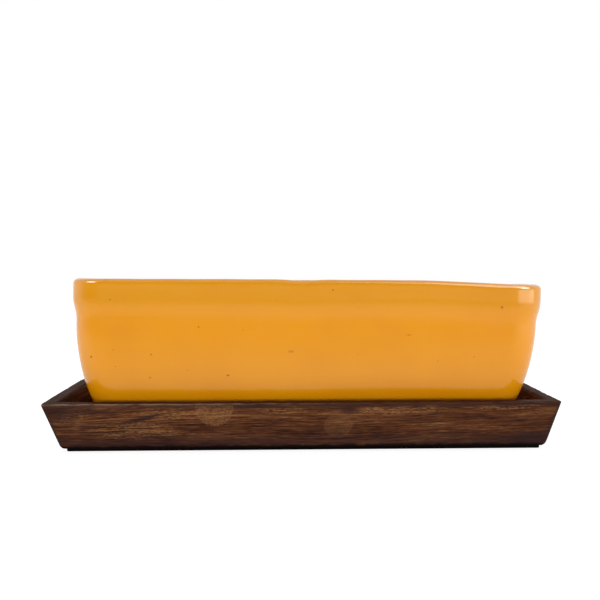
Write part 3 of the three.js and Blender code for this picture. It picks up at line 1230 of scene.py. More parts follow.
@dataclass
class Pot:
    """The planter: one glazed clay body with a rolled rim band.

    Attributes:
        node: the CAD node that it stands for.
        place: where the pot's own origin stands in the row frame.
        plan: stations round the pot.
        marks: blemishes in the glaze.
        others: sizes as on the drawing of the pot, where its glaze ran thin or is missing, and where
            painted shade darkens it above the foot.
    """

    node: str = "planter_pot"
    place: Place = (4.7, 0.0, 5.2)
    length: float = 312.6
    width: float = 141.0
    height: float = 98.6
    corner_radius: float = 25.0
    corner_taper: float = 0.5  # how much the corner radius shrinks for each millimetre of inset
    sharpest_corner: float = 3.0
    band_height: float = 28.2
    band_rise: float = 17.0
    band_proud: float = 2.1
    lip_thickness: float = 10.0
    lip_outer_round: float = 3.8
    lip_flat: float = 2.8
    end_belly: float = 23.4
    side_belly: float = 8.0
    floor_thickness: float = 7.0
    cavity_fillet: float = 10.0
    foot_height: float = 3.0
    foot_width: float = 12.0
    foot_round: float = 5.0
    foot_draft: float = 1.0
    foot_drift: float = 2.7  # how far to the left of the rim the foot stands
    notch_width: float = 16.0
    notch_height: float = 2.4
    drain_diameter: float = 14.0
    drain_pitch: float = 84.0
    drain_count: int = 3
    drain_lip: float = 1.4
    drain_steps: int = 48
    drain_lip_steps: int = 6
    rim_lift: float = 2.6
    lift_fade_start: float = 60.0
    lift_fade_end: float = 145.0
    front_rise: float = 3.0  # how much higher the front of the rim stands at its right end
    front_tilt: float = 1.9  # how much is added to that at its left end
    rim_dip: float = 0.75
    rim_dip_at: float = -5.0
    rim_dip_reach: float = 9.0
    still_height: float = 30.0  # below this the wall is true
    settle_rounds: int = 6  # rounds in which the true height is found
    unevenness: float = 0.35
    uneven_height: float = 15.0  # from here up the wall is as uneven as it gets
    wall_ripple: Ripple = Ripple(seed=3, longest=120, shortest=28, flatten=1.6)
    lip_ripple: Ripple = Ripple(seed=8, longest=90, shortest=24)
    crest_from: float = 3.6  # how far below the top the glaze starts to run thin
    crest_to: float = 0.4  # how far below it the glaze is thinnest
    bare_foot: Point = (0.6, 1.8)  # the clay is bare below the first height and glazed above the second
    bare_recess: Point = (5.0, 7.0)  # the same inside the foot ring
    # painted shade above the foot, where the tray keeps light off the glaze
    low_shade_height: float = 7.0
    low_shade_full: float = 26.0  # from the left end to here the painted shade is deepest
    low_shade_end: float = 72.0
    low_shade_left_rise: float = 1.6  # how much higher it reaches there, as a share of its height
    low_shade_share: float = 0.05  # how deep the painted shade is at the right
    low_shade_left_share: float = 0.65  # how much deeper at the left
    low_shade_fade: Point = (0.4, 1.1)  # shares of its height between which it fades out
    crease: float = 38.0  # faces that meet at more than this many degrees are shaded with a sharp edge
    plan: Plan = Plan(corner_steps=14, long_steps=110, short_steps=48)
    marks: tuple[Mark, ...] = (
        Mark(-122.4, 97.7, 0.8, 0.7),
        Mark(-66.9, 80.0, 0.8, 0.5),
        Mark(-136.2, 60.6, 0.9, 1.0),
        Mark(-97.4, 62.3, 0.8, 0.6),
        Mark(-121.5, 65.3, 0.6, 0.4),
        Mark(-98.4, 47.3, 0.8, 0.6),
        Mark(-48.4, 48.5, 0.8, 0.6, stretch=1.8),
        Mark(-74.3, 52.1, 0.6, 0.35),
        Mark(19.0, 103.6, 0.8, 0.9),
        Mark(128.0, 92.3, 1.1, 0.6),
        Mark(87.5, 57.3, 0.7, 0.35),
        Mark(110.9, 59.9, 0.8, 0.3),
        Mark(-38.6, 77.9, 0.6, 0.3),
        Mark(-7.8, 63.9, 1.1, 0.3, stretch=2.6),
        Mark(68.3, 74.4, 0.6, 0.55, stretch=4.0),
        Mark(35.4, 62.1, 0.6, 0.3),
    )

    @property
    def band_bottom(self) -> float:
        """Height where the rim band starts to swell out of the wall."""
        return self.height - self.band_height

    @property
    def cavity_floor(self) -> float:
        """Height of the floor inside."""
        return self.foot_height + self.floor_thickness

    def side_relief(self, height: np.ndarray | float) -> np.ndarray:
        """How much less the long walls draw in than the ends: by the square of the depth below the band.

        Args:
            height: true height.

        Returns:
            The relief at each height.
        """
        down = np.maximum(self.band_bottom - height, 0.0) / (self.band_bottom - self.foot_round)
        return (self.end_belly - self.side_belly) * down**2

    def profile(self) -> tuple[np.ndarray, int]:
        """The section from the middle of the underside, round the foot and lip, to the middle of the floor.

        The outer and the inner wall are parabolas: the inset grows with the square of the depth below the
        band.

        Returns:
            The points, and the number of the one on the lip's crest.
        """
        draw_in = self.end_belly / (self.band_bottom - self.foot_round) ** 2
        foot_slope = 2 * draw_in * (self.band_bottom - self.foot_round)
        belly_end = self.band_proud + self.end_belly
        foot_corner = belly_end + foot_slope * self.foot_round
        foot_edge = foot_corner + self.foot_round / 2
        fillet_top = self.cavity_floor + self.cavity_fillet
        inner_end = self.lip_thickness + draw_in * (self.band_bottom - fillet_top) ** 2
        inner_slope = 2 * draw_in * (self.band_bottom - fillet_top)
        floor_corner = inner_end + inner_slope * self.cavity_fillet
        inner_round = self.lip_thickness - self.lip_outer_round - self.lip_flat
        band_middle = self.band_bottom + self.band_rise / 2
        band_top = self.band_bottom + self.band_rise
        middle_under = self.width / 2 + float(self.side_relief(self.foot_height))
        middle_floor = self.width / 2 + float(self.side_relief(self.cavity_floor))

        path = Profile((middle_under, self.foot_height))
        path.curve((foot_edge + self.foot_width + self.foot_draft, self.foot_height), steps=8)
        path.curve((foot_edge + self.foot_width, 0), steps=3)
        path.curve((foot_edge, 0), steps=4)
        path.curve((foot_corner, 0), (belly_end, self.foot_round), steps=8)
        half_way = (self.band_bottom + self.foot_round) / 2
        path.curve((self.band_proud, half_way), (self.band_proud, self.band_bottom), steps=40)
        path.curve((self.band_proud, band_middle), (0, band_middle), (0, band_top), steps=14)
        path.curve((0, self.height - self.lip_outer_round), steps=5)
        path.quarter((0, self.height), (self.lip_outer_round, self.height), steps=11)
        crest = len(path.points()) - 1
        inner, top = self.lip_thickness, self.height
        path.curve((inner - inner_round, top), steps=1)
        path.quarter((inner, top), (inner, top - inner_round), steps=8)
        path.curve((inner, self.band_bottom), steps=10)
        path.curve((inner, (self.band_bottom + fillet_top) / 2), (inner_end, fillet_top), steps=22)
        fillet_end = (floor_corner + self.cavity_fillet, self.cavity_floor)
        path.curve((floor_corner, self.cavity_floor), fillet_end, steps=10)
        path.curve((middle_floor, self.cavity_floor), steps=10)
        return path.points(), crest

    def rim_error(self, x: np.ndarray, y: np.ndarray, height: np.ndarray) -> np.ndarray:
        """How far pressing and firing left the wall above its true height.

        The rim is lifted except at its right end. The front stands higher still, more so to the left, with
        a bell-shaped dip near the middle. All of it fades out down the wall.

        Args:
            x: place along the length.
            y: place along the width.
            height: true height.

        Returns:
            The error at each point.
        """
        lift = self.rim_lift * (1 - smoothstep(x, self.lift_fade_start, self.lift_fade_end))
        tilt = self.front_tilt * (0.5 - x / self.length)
        dip = self.rim_dip * np.exp(-(((x - self.rim_dip_at) / self.rim_dip_reach) ** 2))
        towards_front = smoothstep(-y, -self.width / 2, self.width / 2)
        up_the_wall = smoothstep(height, self.still_height, self.band_bottom)
        return up_the_wall * (lift + towards_front * (self.front_rise + tilt - dip))

    def surface(self) -> np.ndarray:
        """The pot's skin: the section carried round the plan, then warped and made slightly uneven.

        The corner radius shrinks with the inset down to the sharpest corner, and to nothing at the middle
        line. Unevenness only takes away, so that the skin stays inside the frame's box.

        Returns:
            Rings by stations by x, y, z in the row frame.
        """
        section, crest = self.profile()
        inset, height = section[:, 0], section[:, 1]
        radius = np.maximum(self.corner_radius - self.corner_taper * inset, self.sharpest_corner)
        relief = self.side_relief(height)
        radius = np.minimum(radius, self.width / 2 - inset + relief)
        flat = self.plan.rings(self.length, self.width, inset, radius, relief)
        x, y = flat[..., 0], flat[..., 1]
        level = height[:, None]
        z = level + self.rim_error(x, y, level)
        points = np.stack([x, y, z], axis=-1)

        outside = np.arange(len(section)) <= crest
        on_wall = outside * smoothstep(height, self.foot_round, self.uneven_height)
        on_wall = on_wall * (1 - smoothstep(height, self.height - self.lip_outer_round, self.height))
        hollow = on_wall[:, None] * self.unevenness * self.wall_ripple.at(points)
        outward = self.plan.stations()[2:].T
        points[..., :2] -= hollow[..., None] * outward
        at_crest = smoothstep(height, self.height - self.lip_outer_round, self.height)[:, None]
        points[..., 2] -= at_crest * self.unevenness * self.lip_ripple.at(points)
        points[..., 0] -= self.foot_drift * (1 - level / self.height)
        return points + np.array(self.place)

    def drains(self) -> list[bpy.types.Object]:
        """Cutters for the drain holes: round bars that flare by a quarter round at both floor faces."""
        lip = self.drain_lip
        radius = self.drain_diameter / 2
        angle = np.linspace(0.0, pi / 2, self.drain_lip_steps + 1)
        flare = radius + lip * (1 - np.cos(angle))
        rise = lip * np.sin(angle)
        lower = np.column_stack([flare[::-1], self.foot_height + lip - rise[::-1]])
        upper = np.column_stack([flare, self.cavity_floor - lip + rise])
        below = [[radius + lip, self.foot_height - lip]]
        above = [[radius + lip, self.cavity_floor + 2 * lip]]
        outline = np.vstack([below, lower, upper, above]) + (0.0, self.place[2])
        first = -(self.drain_count - 1) / 2 * self.drain_pitch + self.place[0]
        cutters = []
        for hole in range(self.drain_count):
            axis = (first + hole * self.drain_pitch, self.place[1])
            cutters.append(round_bar(f"drain_cutter_{hole + 1}", axis, outline, self.drain_steps))
        return cutters

    def notches(self) -> list[bpy.types.Object]:
        """Cutters for the water notches: two bars with an arched top, one along the pot, one across it."""
        arch = Profile((self.notch_width / 2, -self.foot_height))
        arch.curve((self.notch_width / 2, 0), steps=2)
        arch.curve((self.notch_width / 2, self.notch_height), (0, self.notch_height), steps=8)
        arch.curve((-self.notch_width / 2, self.notch_height), (-self.notch_width / 2, 0), steps=8)
        arch.curve((-self.notch_width / 2, -self.foot_height), steps=2)
        outline = arch.points()
        wide, high = outline[:, 0], outline[:, 1]
        bars = []
        for name, reach, along in (("across", self.width / 2, False), ("along", self.length / 2, True)):
            ends = np.array([[-reach], [reach]]) * np.ones_like(wide)
            side = np.broadcast_to(wide, ends.shape)
            top = np.broadcast_to(high, ends.shape)
            axes = [ends, side, top] if along else [side, ends, top]
            sections = np.stack(axes, axis=-1) + np.array(self.place)
            bars.append(solid_of_sections(f"notch_cutter_{name}", sections))
        return bars

    def true_height(self, points: np.ndarray) -> np.ndarray:
        """Height before the warp, found by taking the error off again and again until it settles."""
        local = points - np.array(self.place)
        height = local[:, 2].copy()
        for _ in range(self.settle_rounds):
            height = local[:, 2] - self.rim_error(local[:, 0], local[:, 1], height)
        return height

    def on_front(self, mark: Mark) -> Place:
        """The point of the front wall at a mark's x and z, whether on the flat or on a rounded corner.

        The inset comes from the outer section, and the y on a corner's circle from Pythagoras.

        Args:
            mark: the blemish.

        Returns:
            The point, in the row frame.
        """
        section, crest = self.profile()
        outer = section[:crest]
        rising = outer[outer[:, 1] > self.foot_round]
        height = self.true_height(np.array([[mark.x, self.place[1] - self.width / 2, mark.z]]))[0]
        inset = np.interp(height, rising[:, 1], rising[:, 0])
        radius = self.corner_radius - self.corner_taper * inset
        middle = self.place[0] - self.foot_drift * (1 - height / self.height)
        past = max(abs(mark.x - middle) - (self.length / 2 - inset - radius), 0.0)
        flat = self.width / 2 - inset + self.side_relief(height) - radius
        return (mark.x, float(self.place[1] - flat - np.sqrt(max(radius**2 - past**2, 0.0))), mark.z)

    def paint(self, mesh: bpy.types.Mesh) -> None:
        """Stores where the lip's crest and the band are, where painted shade lies above the foot and where
        the clay is bare.

        Painted shade lies above the foot, deeper and higher towards the left end. The clay is bare under
        the foot ring and, further in, up to the middle of the drain holes.

        Args:
            mesh: the pot's mesh.
        """
        points = mesh_points(mesh)
        height = self.true_height(points)
        local = np.abs(points - np.array(self.place))
        from_side = self.width / 2 - local[:, 1] + self.side_relief(height)
        inset = np.minimum(self.length / 2 - local[:, 0], from_side)
        ring_outside = self.band_proud + self.end_belly + self.foot_round + self.foot_draft
        under = 1 - smoothstep(height, *self.bare_foot)
        recess = (inset > ring_outside) * (1 - smoothstep(height, *self.bare_recess))
        set_values(mesh, "bare", np.maximum(under, recess))
        crest = smoothstep(height, self.height - self.crest_from, self.height - self.crest_to)
        set_values(mesh, "crest", crest)
        from_left = points[:, 0] - self.place[0] + self.length / 2
        left = 1 - smoothstep(from_left, self.low_shade_full, self.low_shade_end)
        reach = self.low_shade_height * (1 + self.low_shade_left_rise * left)
        low, high = (share * reach for share in self.low_shade_fade)
        # how deep the painted shade above the foot is at each point
        pooled = self.low_shade_share + self.low_shade_left_share * left
        set_values(mesh, "low_shade", pooled * (1 - smoothstep(height, low, high)))
        set_values(mesh, "band", smoothstep(height, self.band_bottom, self.band_bottom + self.band_rise))

    def build(self, finish: GlazeFinish) -> None:
        """Makes, cuts, paints and dresses the pot.

        Args:
            finish: the glaze.
        """
        rings = self.surface()
        rows, columns, _ = rings.shape
        faces = grid_faces(rows, columns, rows_close=False, columns_close=True)
        piece = make_mesh("glazed_planter", rings.reshape(-1, 3), faces.tolist())
        cut(piece, self.notches() + self.drains())
        self.paint(piece.data)
        smooth(piece, self.crease)
        marks = [(self.on_front(mark), mark) for mark in self.marks]
        dress(piece, finish.material(marks))
        seat(piece, Body.PLANTER, self.node)


@dataclass(frozen=True)
class Bend:
    """A smooth step in the grain of a board.

    Attributes:
        drop: by how much the grain drops.
        start: where along the board it starts to drop.
        end: where it has dropped.
    """

    drop: float
    start: float
    end: float

    def at(self, along: np.ndarray) -> np.ndarray:
        """The drop at each place along the board."""
        return self.drop * smoothstep(along, self.start, self.end)


@dataclass
class Tray:
    """The drip tray: four walls that lean outwards and meet in mitres, a base board, and its pins.

    Attributes:
        base_plan: stations round the base board.
        others: sizes as on the drawing of the tray, how its edges are worn, where its painted highlight and
            painted shade lie, and how its grain runs.
    """

    length: float = 330.0
    width: float = 160.0
    height: float = 32.8
    wall_thickness: float = 8.4
    wall_lean: float = 15.7
    skew: float = 1.5  # how far to the right of the rim the foot stands
    corner_round: float = 2.5
    inner_corner_round: float = 0.6
    rim_outer_ease: float = 0.9
    rim_inner_ease: float = 1.1
    foot_ease: float = 2.2
    rebate_lip: float = 2.8
    rebate_depth: float = 3.0
    base_thickness: float = 5.0
    base_ease: float = 0.5
    glue_gap: float = 0.1
    mitre_gap: float = 0.2
    pin_gap: float = 0.2
    knock_along_front: float = 3.5
    knock_along_end: float = 3.5
    knock_up: float = 6.0
    wear: float = 0.4
    wear_least: float = 0.1  # share of the wear that every part of an arris has
    wear_reach: float = 1.5
    chips: Ripple = Ripple(seed=20, longest=46, shortest=5, waves=10)  # each side adds to the seed
    chipped: Point = (0.35, 0.95)  # values of the ripple between which the wear grows
    # painted highlight along the rim's outer arris, where it catches the light
    arris_highlight_reach: float = 0.65
    arris_highlight_least: float = 0.15  # share of the painted highlight that every part of the rim's outer arris has
    arris_highlight_from: float = -130.0  # on the front the rest of it fades from here to the right
    arris_highlight_to: float = 60.0
    arris_highlight_elsewhere: float = 0.4  # how much of the rest the other walls have
    top_slack: float = 0.2  # how much a millimetre into the board counts in the distance from the top
    rim_fade: Point = (1.0, 0.2)  # how far below the top the rim's painted shade starts and is full
    board_spacing: float = 700.0  # how far apart the four boards lie in the grain's pattern
    left_bend: Bend = Bend(10.0, start=60.0, end=175.0)  # on the front, measured to the left
    long_bend: Bend = Bend(4.0, start=-150.0, end=20.0)  # the same
    end_bend: Bend = Bend(6.0, start=-60.0, end=60.0)
    fan: Point = (1.5, -0.45)  # how the left bend grows up the board, and its value at the foot
    shank_share: float = 0.6  # a pin's shank next to its head
    head_depth: float = 1.0
    head_taper: float = 0.1
    pin_steps: int = 20
    crease: float = 32.0  # faces that meet at more than this many degrees are shaded with a sharp edge
    long_steps: int = 120
    short_steps: int = 60
    corner_steps: int = 6
    base_plan: Plan = Plan(corner_steps=6, long_steps=40, short_steps=20)
    pin_counts: tuple[tuple[str, int], ...] = (("front", 5), ("back", 5), ("left", 2), ("right", 2))

    @property
    def slope(self) -> float:
        """Millimetres that the wall leans out for each one that it rises."""
        return tan(radians(self.wall_lean))

    @property
    def rebate_top(self) -> float:
        """Height of the rebate's ceiling."""
        return self.base_thickness + self.glue_gap

    @property
    def wall_bottom(self) -> float:
        """Height of the walls' lower edge."""
        return self.rebate_top - self.rebate_depth

    @property
    def foot_inset(self) -> float:
        """How far the walls' lower outer edge lies inside the rim's outline."""
        return (self.height - self.wall_bottom) * self.slope

    def radius_at(self, depth: np.ndarray | float) -> np.ndarray | float:
        """Corner radius at a share of the wall's thickness, evenly from the outer one to the inner one."""
        return self.corner_round + (self.inner_corner_round - self.corner_round) * depth

    def section(self) -> np.ndarray:
        """Section of a wall: from the rebate's ceiling round the foot, outer face, rim and inner face.

        Returns:
            Inset from the tray's rim outline and height, one row each.
        """
        ease_out, ease_in, foot = self.rim_outer_ease, self.rim_inner_ease, self.foot_ease
        thick = self.wall_thickness
        inner_start = (self.height - self.rebate_top) * self.slope + thick
        rebate = self.foot_inset + self.rebate_lip
        path = Profile((inner_start, self.rebate_top))
        path.curve((rebate, self.rebate_top), steps=3)
        path.curve((rebate, self.wall_bottom), steps=3)
        path.curve((self.foot_inset + foot, self.wall_bottom), steps=1)
        foot_end = (self.foot_inset - foot * self.slope, self.wall_bottom + foot)
        path.curve((self.foot_inset, self.wall_bottom), foot_end, steps=7)
        path.curve((ease_out * self.slope, self.height - ease_out), steps=16)
        path.curve((0, self.height), (ease_out, self.height), steps=8)
        path.curve((thick - ease_in, self.height), steps=5)
        path.curve((thick, self.height), (thick + ease_in * self.slope, self.height - ease_in), steps=6)
        path.curve((inner_start, self.rebate_top), steps=14)
        return path.points()[:-1]

    def stations(self, steps: int) -> tuple[np.ndarray, np.ndarray]:
        """Stations along a wall, from the middle of one rounded corner to the middle of the other.

        Args:
            steps: steps along the straight stretch.

        Returns:
            Each station's share of the straight half length, -1 to 1, and its angle round the corner.
        """
        turn = np.linspace(0.0, pi / 4, self.corner_steps + 1)[1:]
        share = np.concatenate([-np.ones_like(turn), np.linspace(-1.0, 1.0, steps + 1), np.ones_like(turn)])
        angle = np.concatenate([-turn[::-1], np.zeros(steps + 1), turn])
        return share, angle

    def wall_surface(self, side: Side) -> tuple[np.ndarray, dict[str, np.ndarray]]:
        """One wall's skin: the section carried along the side and round half of each corner.

        The corner radius goes from the outer to the inner value with the depth into the wall, and each
        station is held back from the mitre plane by half its gap. Wear only takes away. The knocked corner
        lifts what lies below a plane up onto it.

        Args:
            side: which wall.

        Returns:
            Stations by section points by x, y, z in the row frame, and what the finish reads there.
        """
        length, other = (self.width, self.length) if side.across else (self.length, self.width)
        section = self.section()
        inset, height = section[:, 0], section[:, 1]
        depth = np.clip((inset - (self.height - height) * self.slope) / self.wall_thickness, 0.0, 1.0)
        radius = self.radius_at(depth)
        share, angle = self.stations(self.short_steps if side.across else self.long_steps)
        share, angle = share[:, None], angle[:, None]
        x = share * (length / 2 - inset - radius) + radius * np.sin(angle)
        y = -other / 2 + inset + radius * (1 - np.cos(angle))
        points = np.stack([x, y, np.broadcast_to(height, x.shape)], axis=-1)
        worn = self.worn(side, points, section)
        points[..., 1] += worn * np.sign(0.5 - depth)
        points[..., 2] -= worn * smoothstep(height, self.height / 2, self.height)
        limit = length / 2 - (points[..., 1] + other / 2) - self.mitre_gap / np.sqrt(2)
        points[..., 0] = np.clip(points[..., 0], -limit, limit)
        values = self.wall_values(side, points[..., 0], section)
        points = turned(points, side.value)
        if side in (Side.FRONT, Side.RIGHT):
            points = self.knocked(points)
        return self.skewed(points), values

    def worn(self, side: Side, points: np.ndarray, section: np.ndarray) -> np.ndarray:
        """How far each point is worn away: a bell curve round each of the three arrises, times a ripple.

        Args:
            side: which wall.
            points: the wall's points before the wear.
            section: inset and height of the section's points.

        Returns:
            Millimetres at each point.
        """
        inset, height = section[:, 0], section[:, 1]
        edges = [
            (0.0, self.height),
            (self.wall_thickness, self.height),
            (self.foot_inset, self.wall_bottom),
        ]
        gaps = [np.hypot(inset - edge[0], height - edge[1]) for edge in edges]
        arris = np.exp(-((np.min(gaps, axis=0) / self.wear_reach) ** 2))
        ripple = replace(self.chips, seed=self.chips.seed + side.value)
        chipped = smoothstep(ripple.at(points), *self.chipped)
        return self.wear * arris * (self.wear_least + (1 - self.wear_least) * chipped)

    def wall_values(self, side: Side, along: np.ndarray, section: np.ndarray) -> dict[str, np.ndarray]:
        """What the finish reads: board coordinates, distances from the board's edges, rim, and the arris's
        painted highlight.

        Args:
            side: which wall.
            along: place along the wall.
            section: inset and height of the section's points.

        Returns:
            Values at each point, by the attribute's name.
        """
        length = self.width if side.across else self.length
        height = np.broadcast_to(section[:, 1], along.shape)
        face_inset = (self.height - height) * self.slope
        into = section[:, 0] - face_inset
        up = (height - self.wall_bottom) / cos(radians(self.wall_lean))
        spaced = along + self.board_spacing * (side.value + 1)
        bent = up + self.grain_bend(side, along, up)
        rim_start, rim_full = (self.height - depth for depth in self.rim_fade)
        return {
            "board": np.stack([spaced, into, bent], axis=-1) * MM,
            "from_end": (length / 2 - face_inset - np.abs(along)) * MM,
            "from_foot": (height - self.wall_bottom) * MM,
            "from_top": (self.height - height + self.top_slack * np.abs(into)) * MM,
            "rim": smoothstep(height, rim_start, rim_full),
            "arris_highlight": self.arris_highlighting(side, along, section),
        }

    def arris_highlighting(self, side: Side, along: np.ndarray, section: np.ndarray) -> np.ndarray:
        """Share of painted highlight on the rim's outer arris: a bell curve across it, on the front less to
        the right.

        Args:
            side: which wall.
            along: place along the wall.
            section: inset and height of the section's points.

        Returns:
            The share at each point.
        """
        gap = np.hypot(section[:, 0], section[:, 1] - self.height)
        across = np.exp(-((gap / self.arris_highlight_reach) ** 2))
        share = self.arris_highlight_elsewhere * np.ones_like(along)
        if side is Side.FRONT:
            share = 1 - smoothstep(along, self.arris_highlight_from, self.arris_highlight_to)
        return across * (self.arris_highlight_least + (1 - self.arris_highlight_least) * share)

    def grain_bend(self, side: Side, along: np.ndarray, up: np.ndarray) -> np.ndarray:
        """By how much the grain lies lower: smooth steps, one of which on the front fans out upwards.

        Args:
            side: which wall.
            along: place along the wall.
            up: place up its face.

        Returns:
            The drop at each point.
        """
        if side is Side.FRONT:
            growth, at_foot = self.fan
            fan = growth * up / self.height + at_foot
            return self.left_bend.at(-along) * fan + self.long_bend.at(-along)
        return self.end_bend.at(along) * (1 if side is Side.RIGHT else -1)

    def skewed(self, points: np.ndarray) -> np.ndarray:
        """Moves points right by the skew at the table, and less in even measure up to the rim."""
        moved = points.copy()
        moved[..., 0] += self.skew * (1 - points[..., 2] / self.height)
        return moved

    def knocked(self, points: np.ndarray) -> np.ndarray:
        """Lifts what lies outside the knocked corner's plane straight up onto it.

        The plane goes through three points on the corner's edges: along the front, along the end and up
        the corner. Its height at x, y follows from its normal.

        Args:
            points: the wall's points.

        Returns:
            The points after the knock.
        """
        foot, up = self.foot_inset, self.knock_up
        corner = np.array([self.length / 2 - foot, foot - self.width / 2, self.wall_bottom])
        first = corner + (-self.knock_along_front, 0, 0)
        second = corner + (0, self.knock_along_end, 0)
        third = corner + (up * self.slope, -up * self.slope, up)
        normal = np.cross(second - first, third - first)
        plane = first[2] - ((points[..., :2] - first[:2]) @ normal[:2]) / normal[2]
        lifted = points.copy()
        lifted[..., 2] = np.maximum(points[..., 2], plane)
        return lifted

    def pin_cutters(self, nodes: list[str]) -> list[bpy.types.Object]:
        """Clearance holes for panel pins, placed and sized by the pins' boxes in the frame.

        Args:
            nodes: the pins.

        Returns:
            One cutter for each pin, with a wider foot for the head.
        """
        cutters = []
        for node in nodes:
            low, high = (np.array(corner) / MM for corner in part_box(node))
            head = (high[0] - low[0]) / 2 + self.pin_gap
            shank = self.shank_share * head
            under_head = low[2] + self.head_depth
            outline = [
                [head, -self.head_depth],
                [head, under_head],
                [shank, under_head + self.head_taper],
                [shank, high[2] + self.pin_gap],
            ]
            middle = (low + high) / 2
            axis = (middle[0], middle[1])
            cutters.append(round_bar(f"hole_{node}", axis, np.array(outline), self.pin_steps))
        return cutters

    def pin_nodes(self, side: str) -> list[str]:
        """The names of the pins along one side."""
        return [f"base_pin_{side}_{pin + 1}" for pin in range(dict(self.pin_counts)[side])]

    def build_walls(self, finish: WoodFinish) -> None:
        """Makes the four walls, drills them for the pins and dresses them.

        Args:
            finish: the wood.
        """
        wood = finish.material()
        for side in Side:
            points, values = self.wall_surface(side)
            piece = solid_of_sections(f"stained_wall_{side.word}", points, values)
            cut(piece, self.pin_cutters(self.pin_nodes(side.word)))
            smooth(piece, self.crease)
            dress(piece, wood)
            seat(piece, Body.TRAY, f"tray_{side.word}_wall")

    def build_base(self, finish: BaseFinish) -> None:
        """Makes the base board with eased edges, drills it and dresses it.

        Args:
            finish: the board's finish.
        """
        inset = self.foot_inset + self.rebate_lip + self.glue_gap
        radius = self.radius_at(self.rebate_lip / self.wall_thickness)
        ease, top = self.base_ease, self.base_thickness
        path = Profile((self.width / 2 - inset, 0.0))
        path.curve((ease, 0.0), steps=6)
        path.quarter((0.0, 0.0), (0.0, ease), steps=4)
        path.curve((0.0, top - ease), steps=3)
        path.quarter((0.0, top), (ease, top), steps=4)
        path.curve((self.width / 2 - inset, top), steps=6)
        section = path.points()
        radii = np.maximum(radius - section[:, 0], 0.0)
        flat = self.base_plan.rings(self.length - 2 * inset, self.width - 2 * inset, section[:, 0], radii)
        level = np.broadcast_to(section[:, 1][:, None, None], (*flat.shape[:2], 1))
        rings = self.skewed(np.concatenate([flat, level], axis=-1))
        faces = grid_faces(rings.shape[0], rings.shape[1], rows_close=False, columns_close=True)
        piece = make_mesh("base_board", rings.reshape(-1, 3), faces.tolist())
        pins = [node for side in Side for node in self.pin_nodes(side.word)]
        cut(piece, self.pin_cutters(pins))
        smooth(piece, self.crease)
        dress(piece, finish.material())
        seat(piece, Body.TRAY, "tray_base_board")

    def dress_pins(self, nodes: dict[str, bpy.types.Object], finish: SteelFinish) -> None:
        """Gives the panel pins their steel.

        Args:
            nodes: the frame's CAD nodes.
            finish: the steel.
        """
        steel = finish.material()
        for side in Side:
            for name in self.pin_nodes(side.word):
                dress(nodes[name], steel)
                LOG.info("%s keeps its mesh", name)


def turned(points: np.ndarray, quarters: int) -> np.ndarray:
    """Turns points anticlockwise about the origin by quarter turns, exactly."""
    x, y, z = points[..., 0], points[..., 1], points[..., 2]
    for _ in range(quarters):
        x, y = -y, x
    return np.stack([x, y, z], axis=-1)


@dataclass(frozen=True)
class Softbox:
    """A rectangular lamp.

    Attributes:
        name: its name.
        place: its middle, in metres.
        aim: the point that it faces, in metres.
        size: its width and height, in metres.
        power: in watts.
        in_gloss: whether glossy surfaces show it.
        on_matt: whether it lights matt surfaces.
    """

    name: str
    place: Place
    aim: Place
    size: Point
    power: float
    in_gloss: bool = True
    on_matt: bool = True

    def build(self) -> None:
        """Puts the lamp in the scene, facing its aim."""
        lamp = bpy.data.lights.new(self.name, "AREA")
        lamp.shape = "RECTANGLE"
        lamp.size, lamp.size_y = self.size
        lamp.energy = self.power
        holder = bpy.data.objects.new(self.name, lamp)
        holder.visible_glossy = self.in_gloss
        holder.visible_diffuse = self.on_matt
        bpy.context.scene.collection.objects.link(holder)
        holder.location = self.place
        towards = holder.location - type(holder.location)(self.aim)
        holder.rotation_euler = towards.to_track_quat("Z", "Y").to_euler()


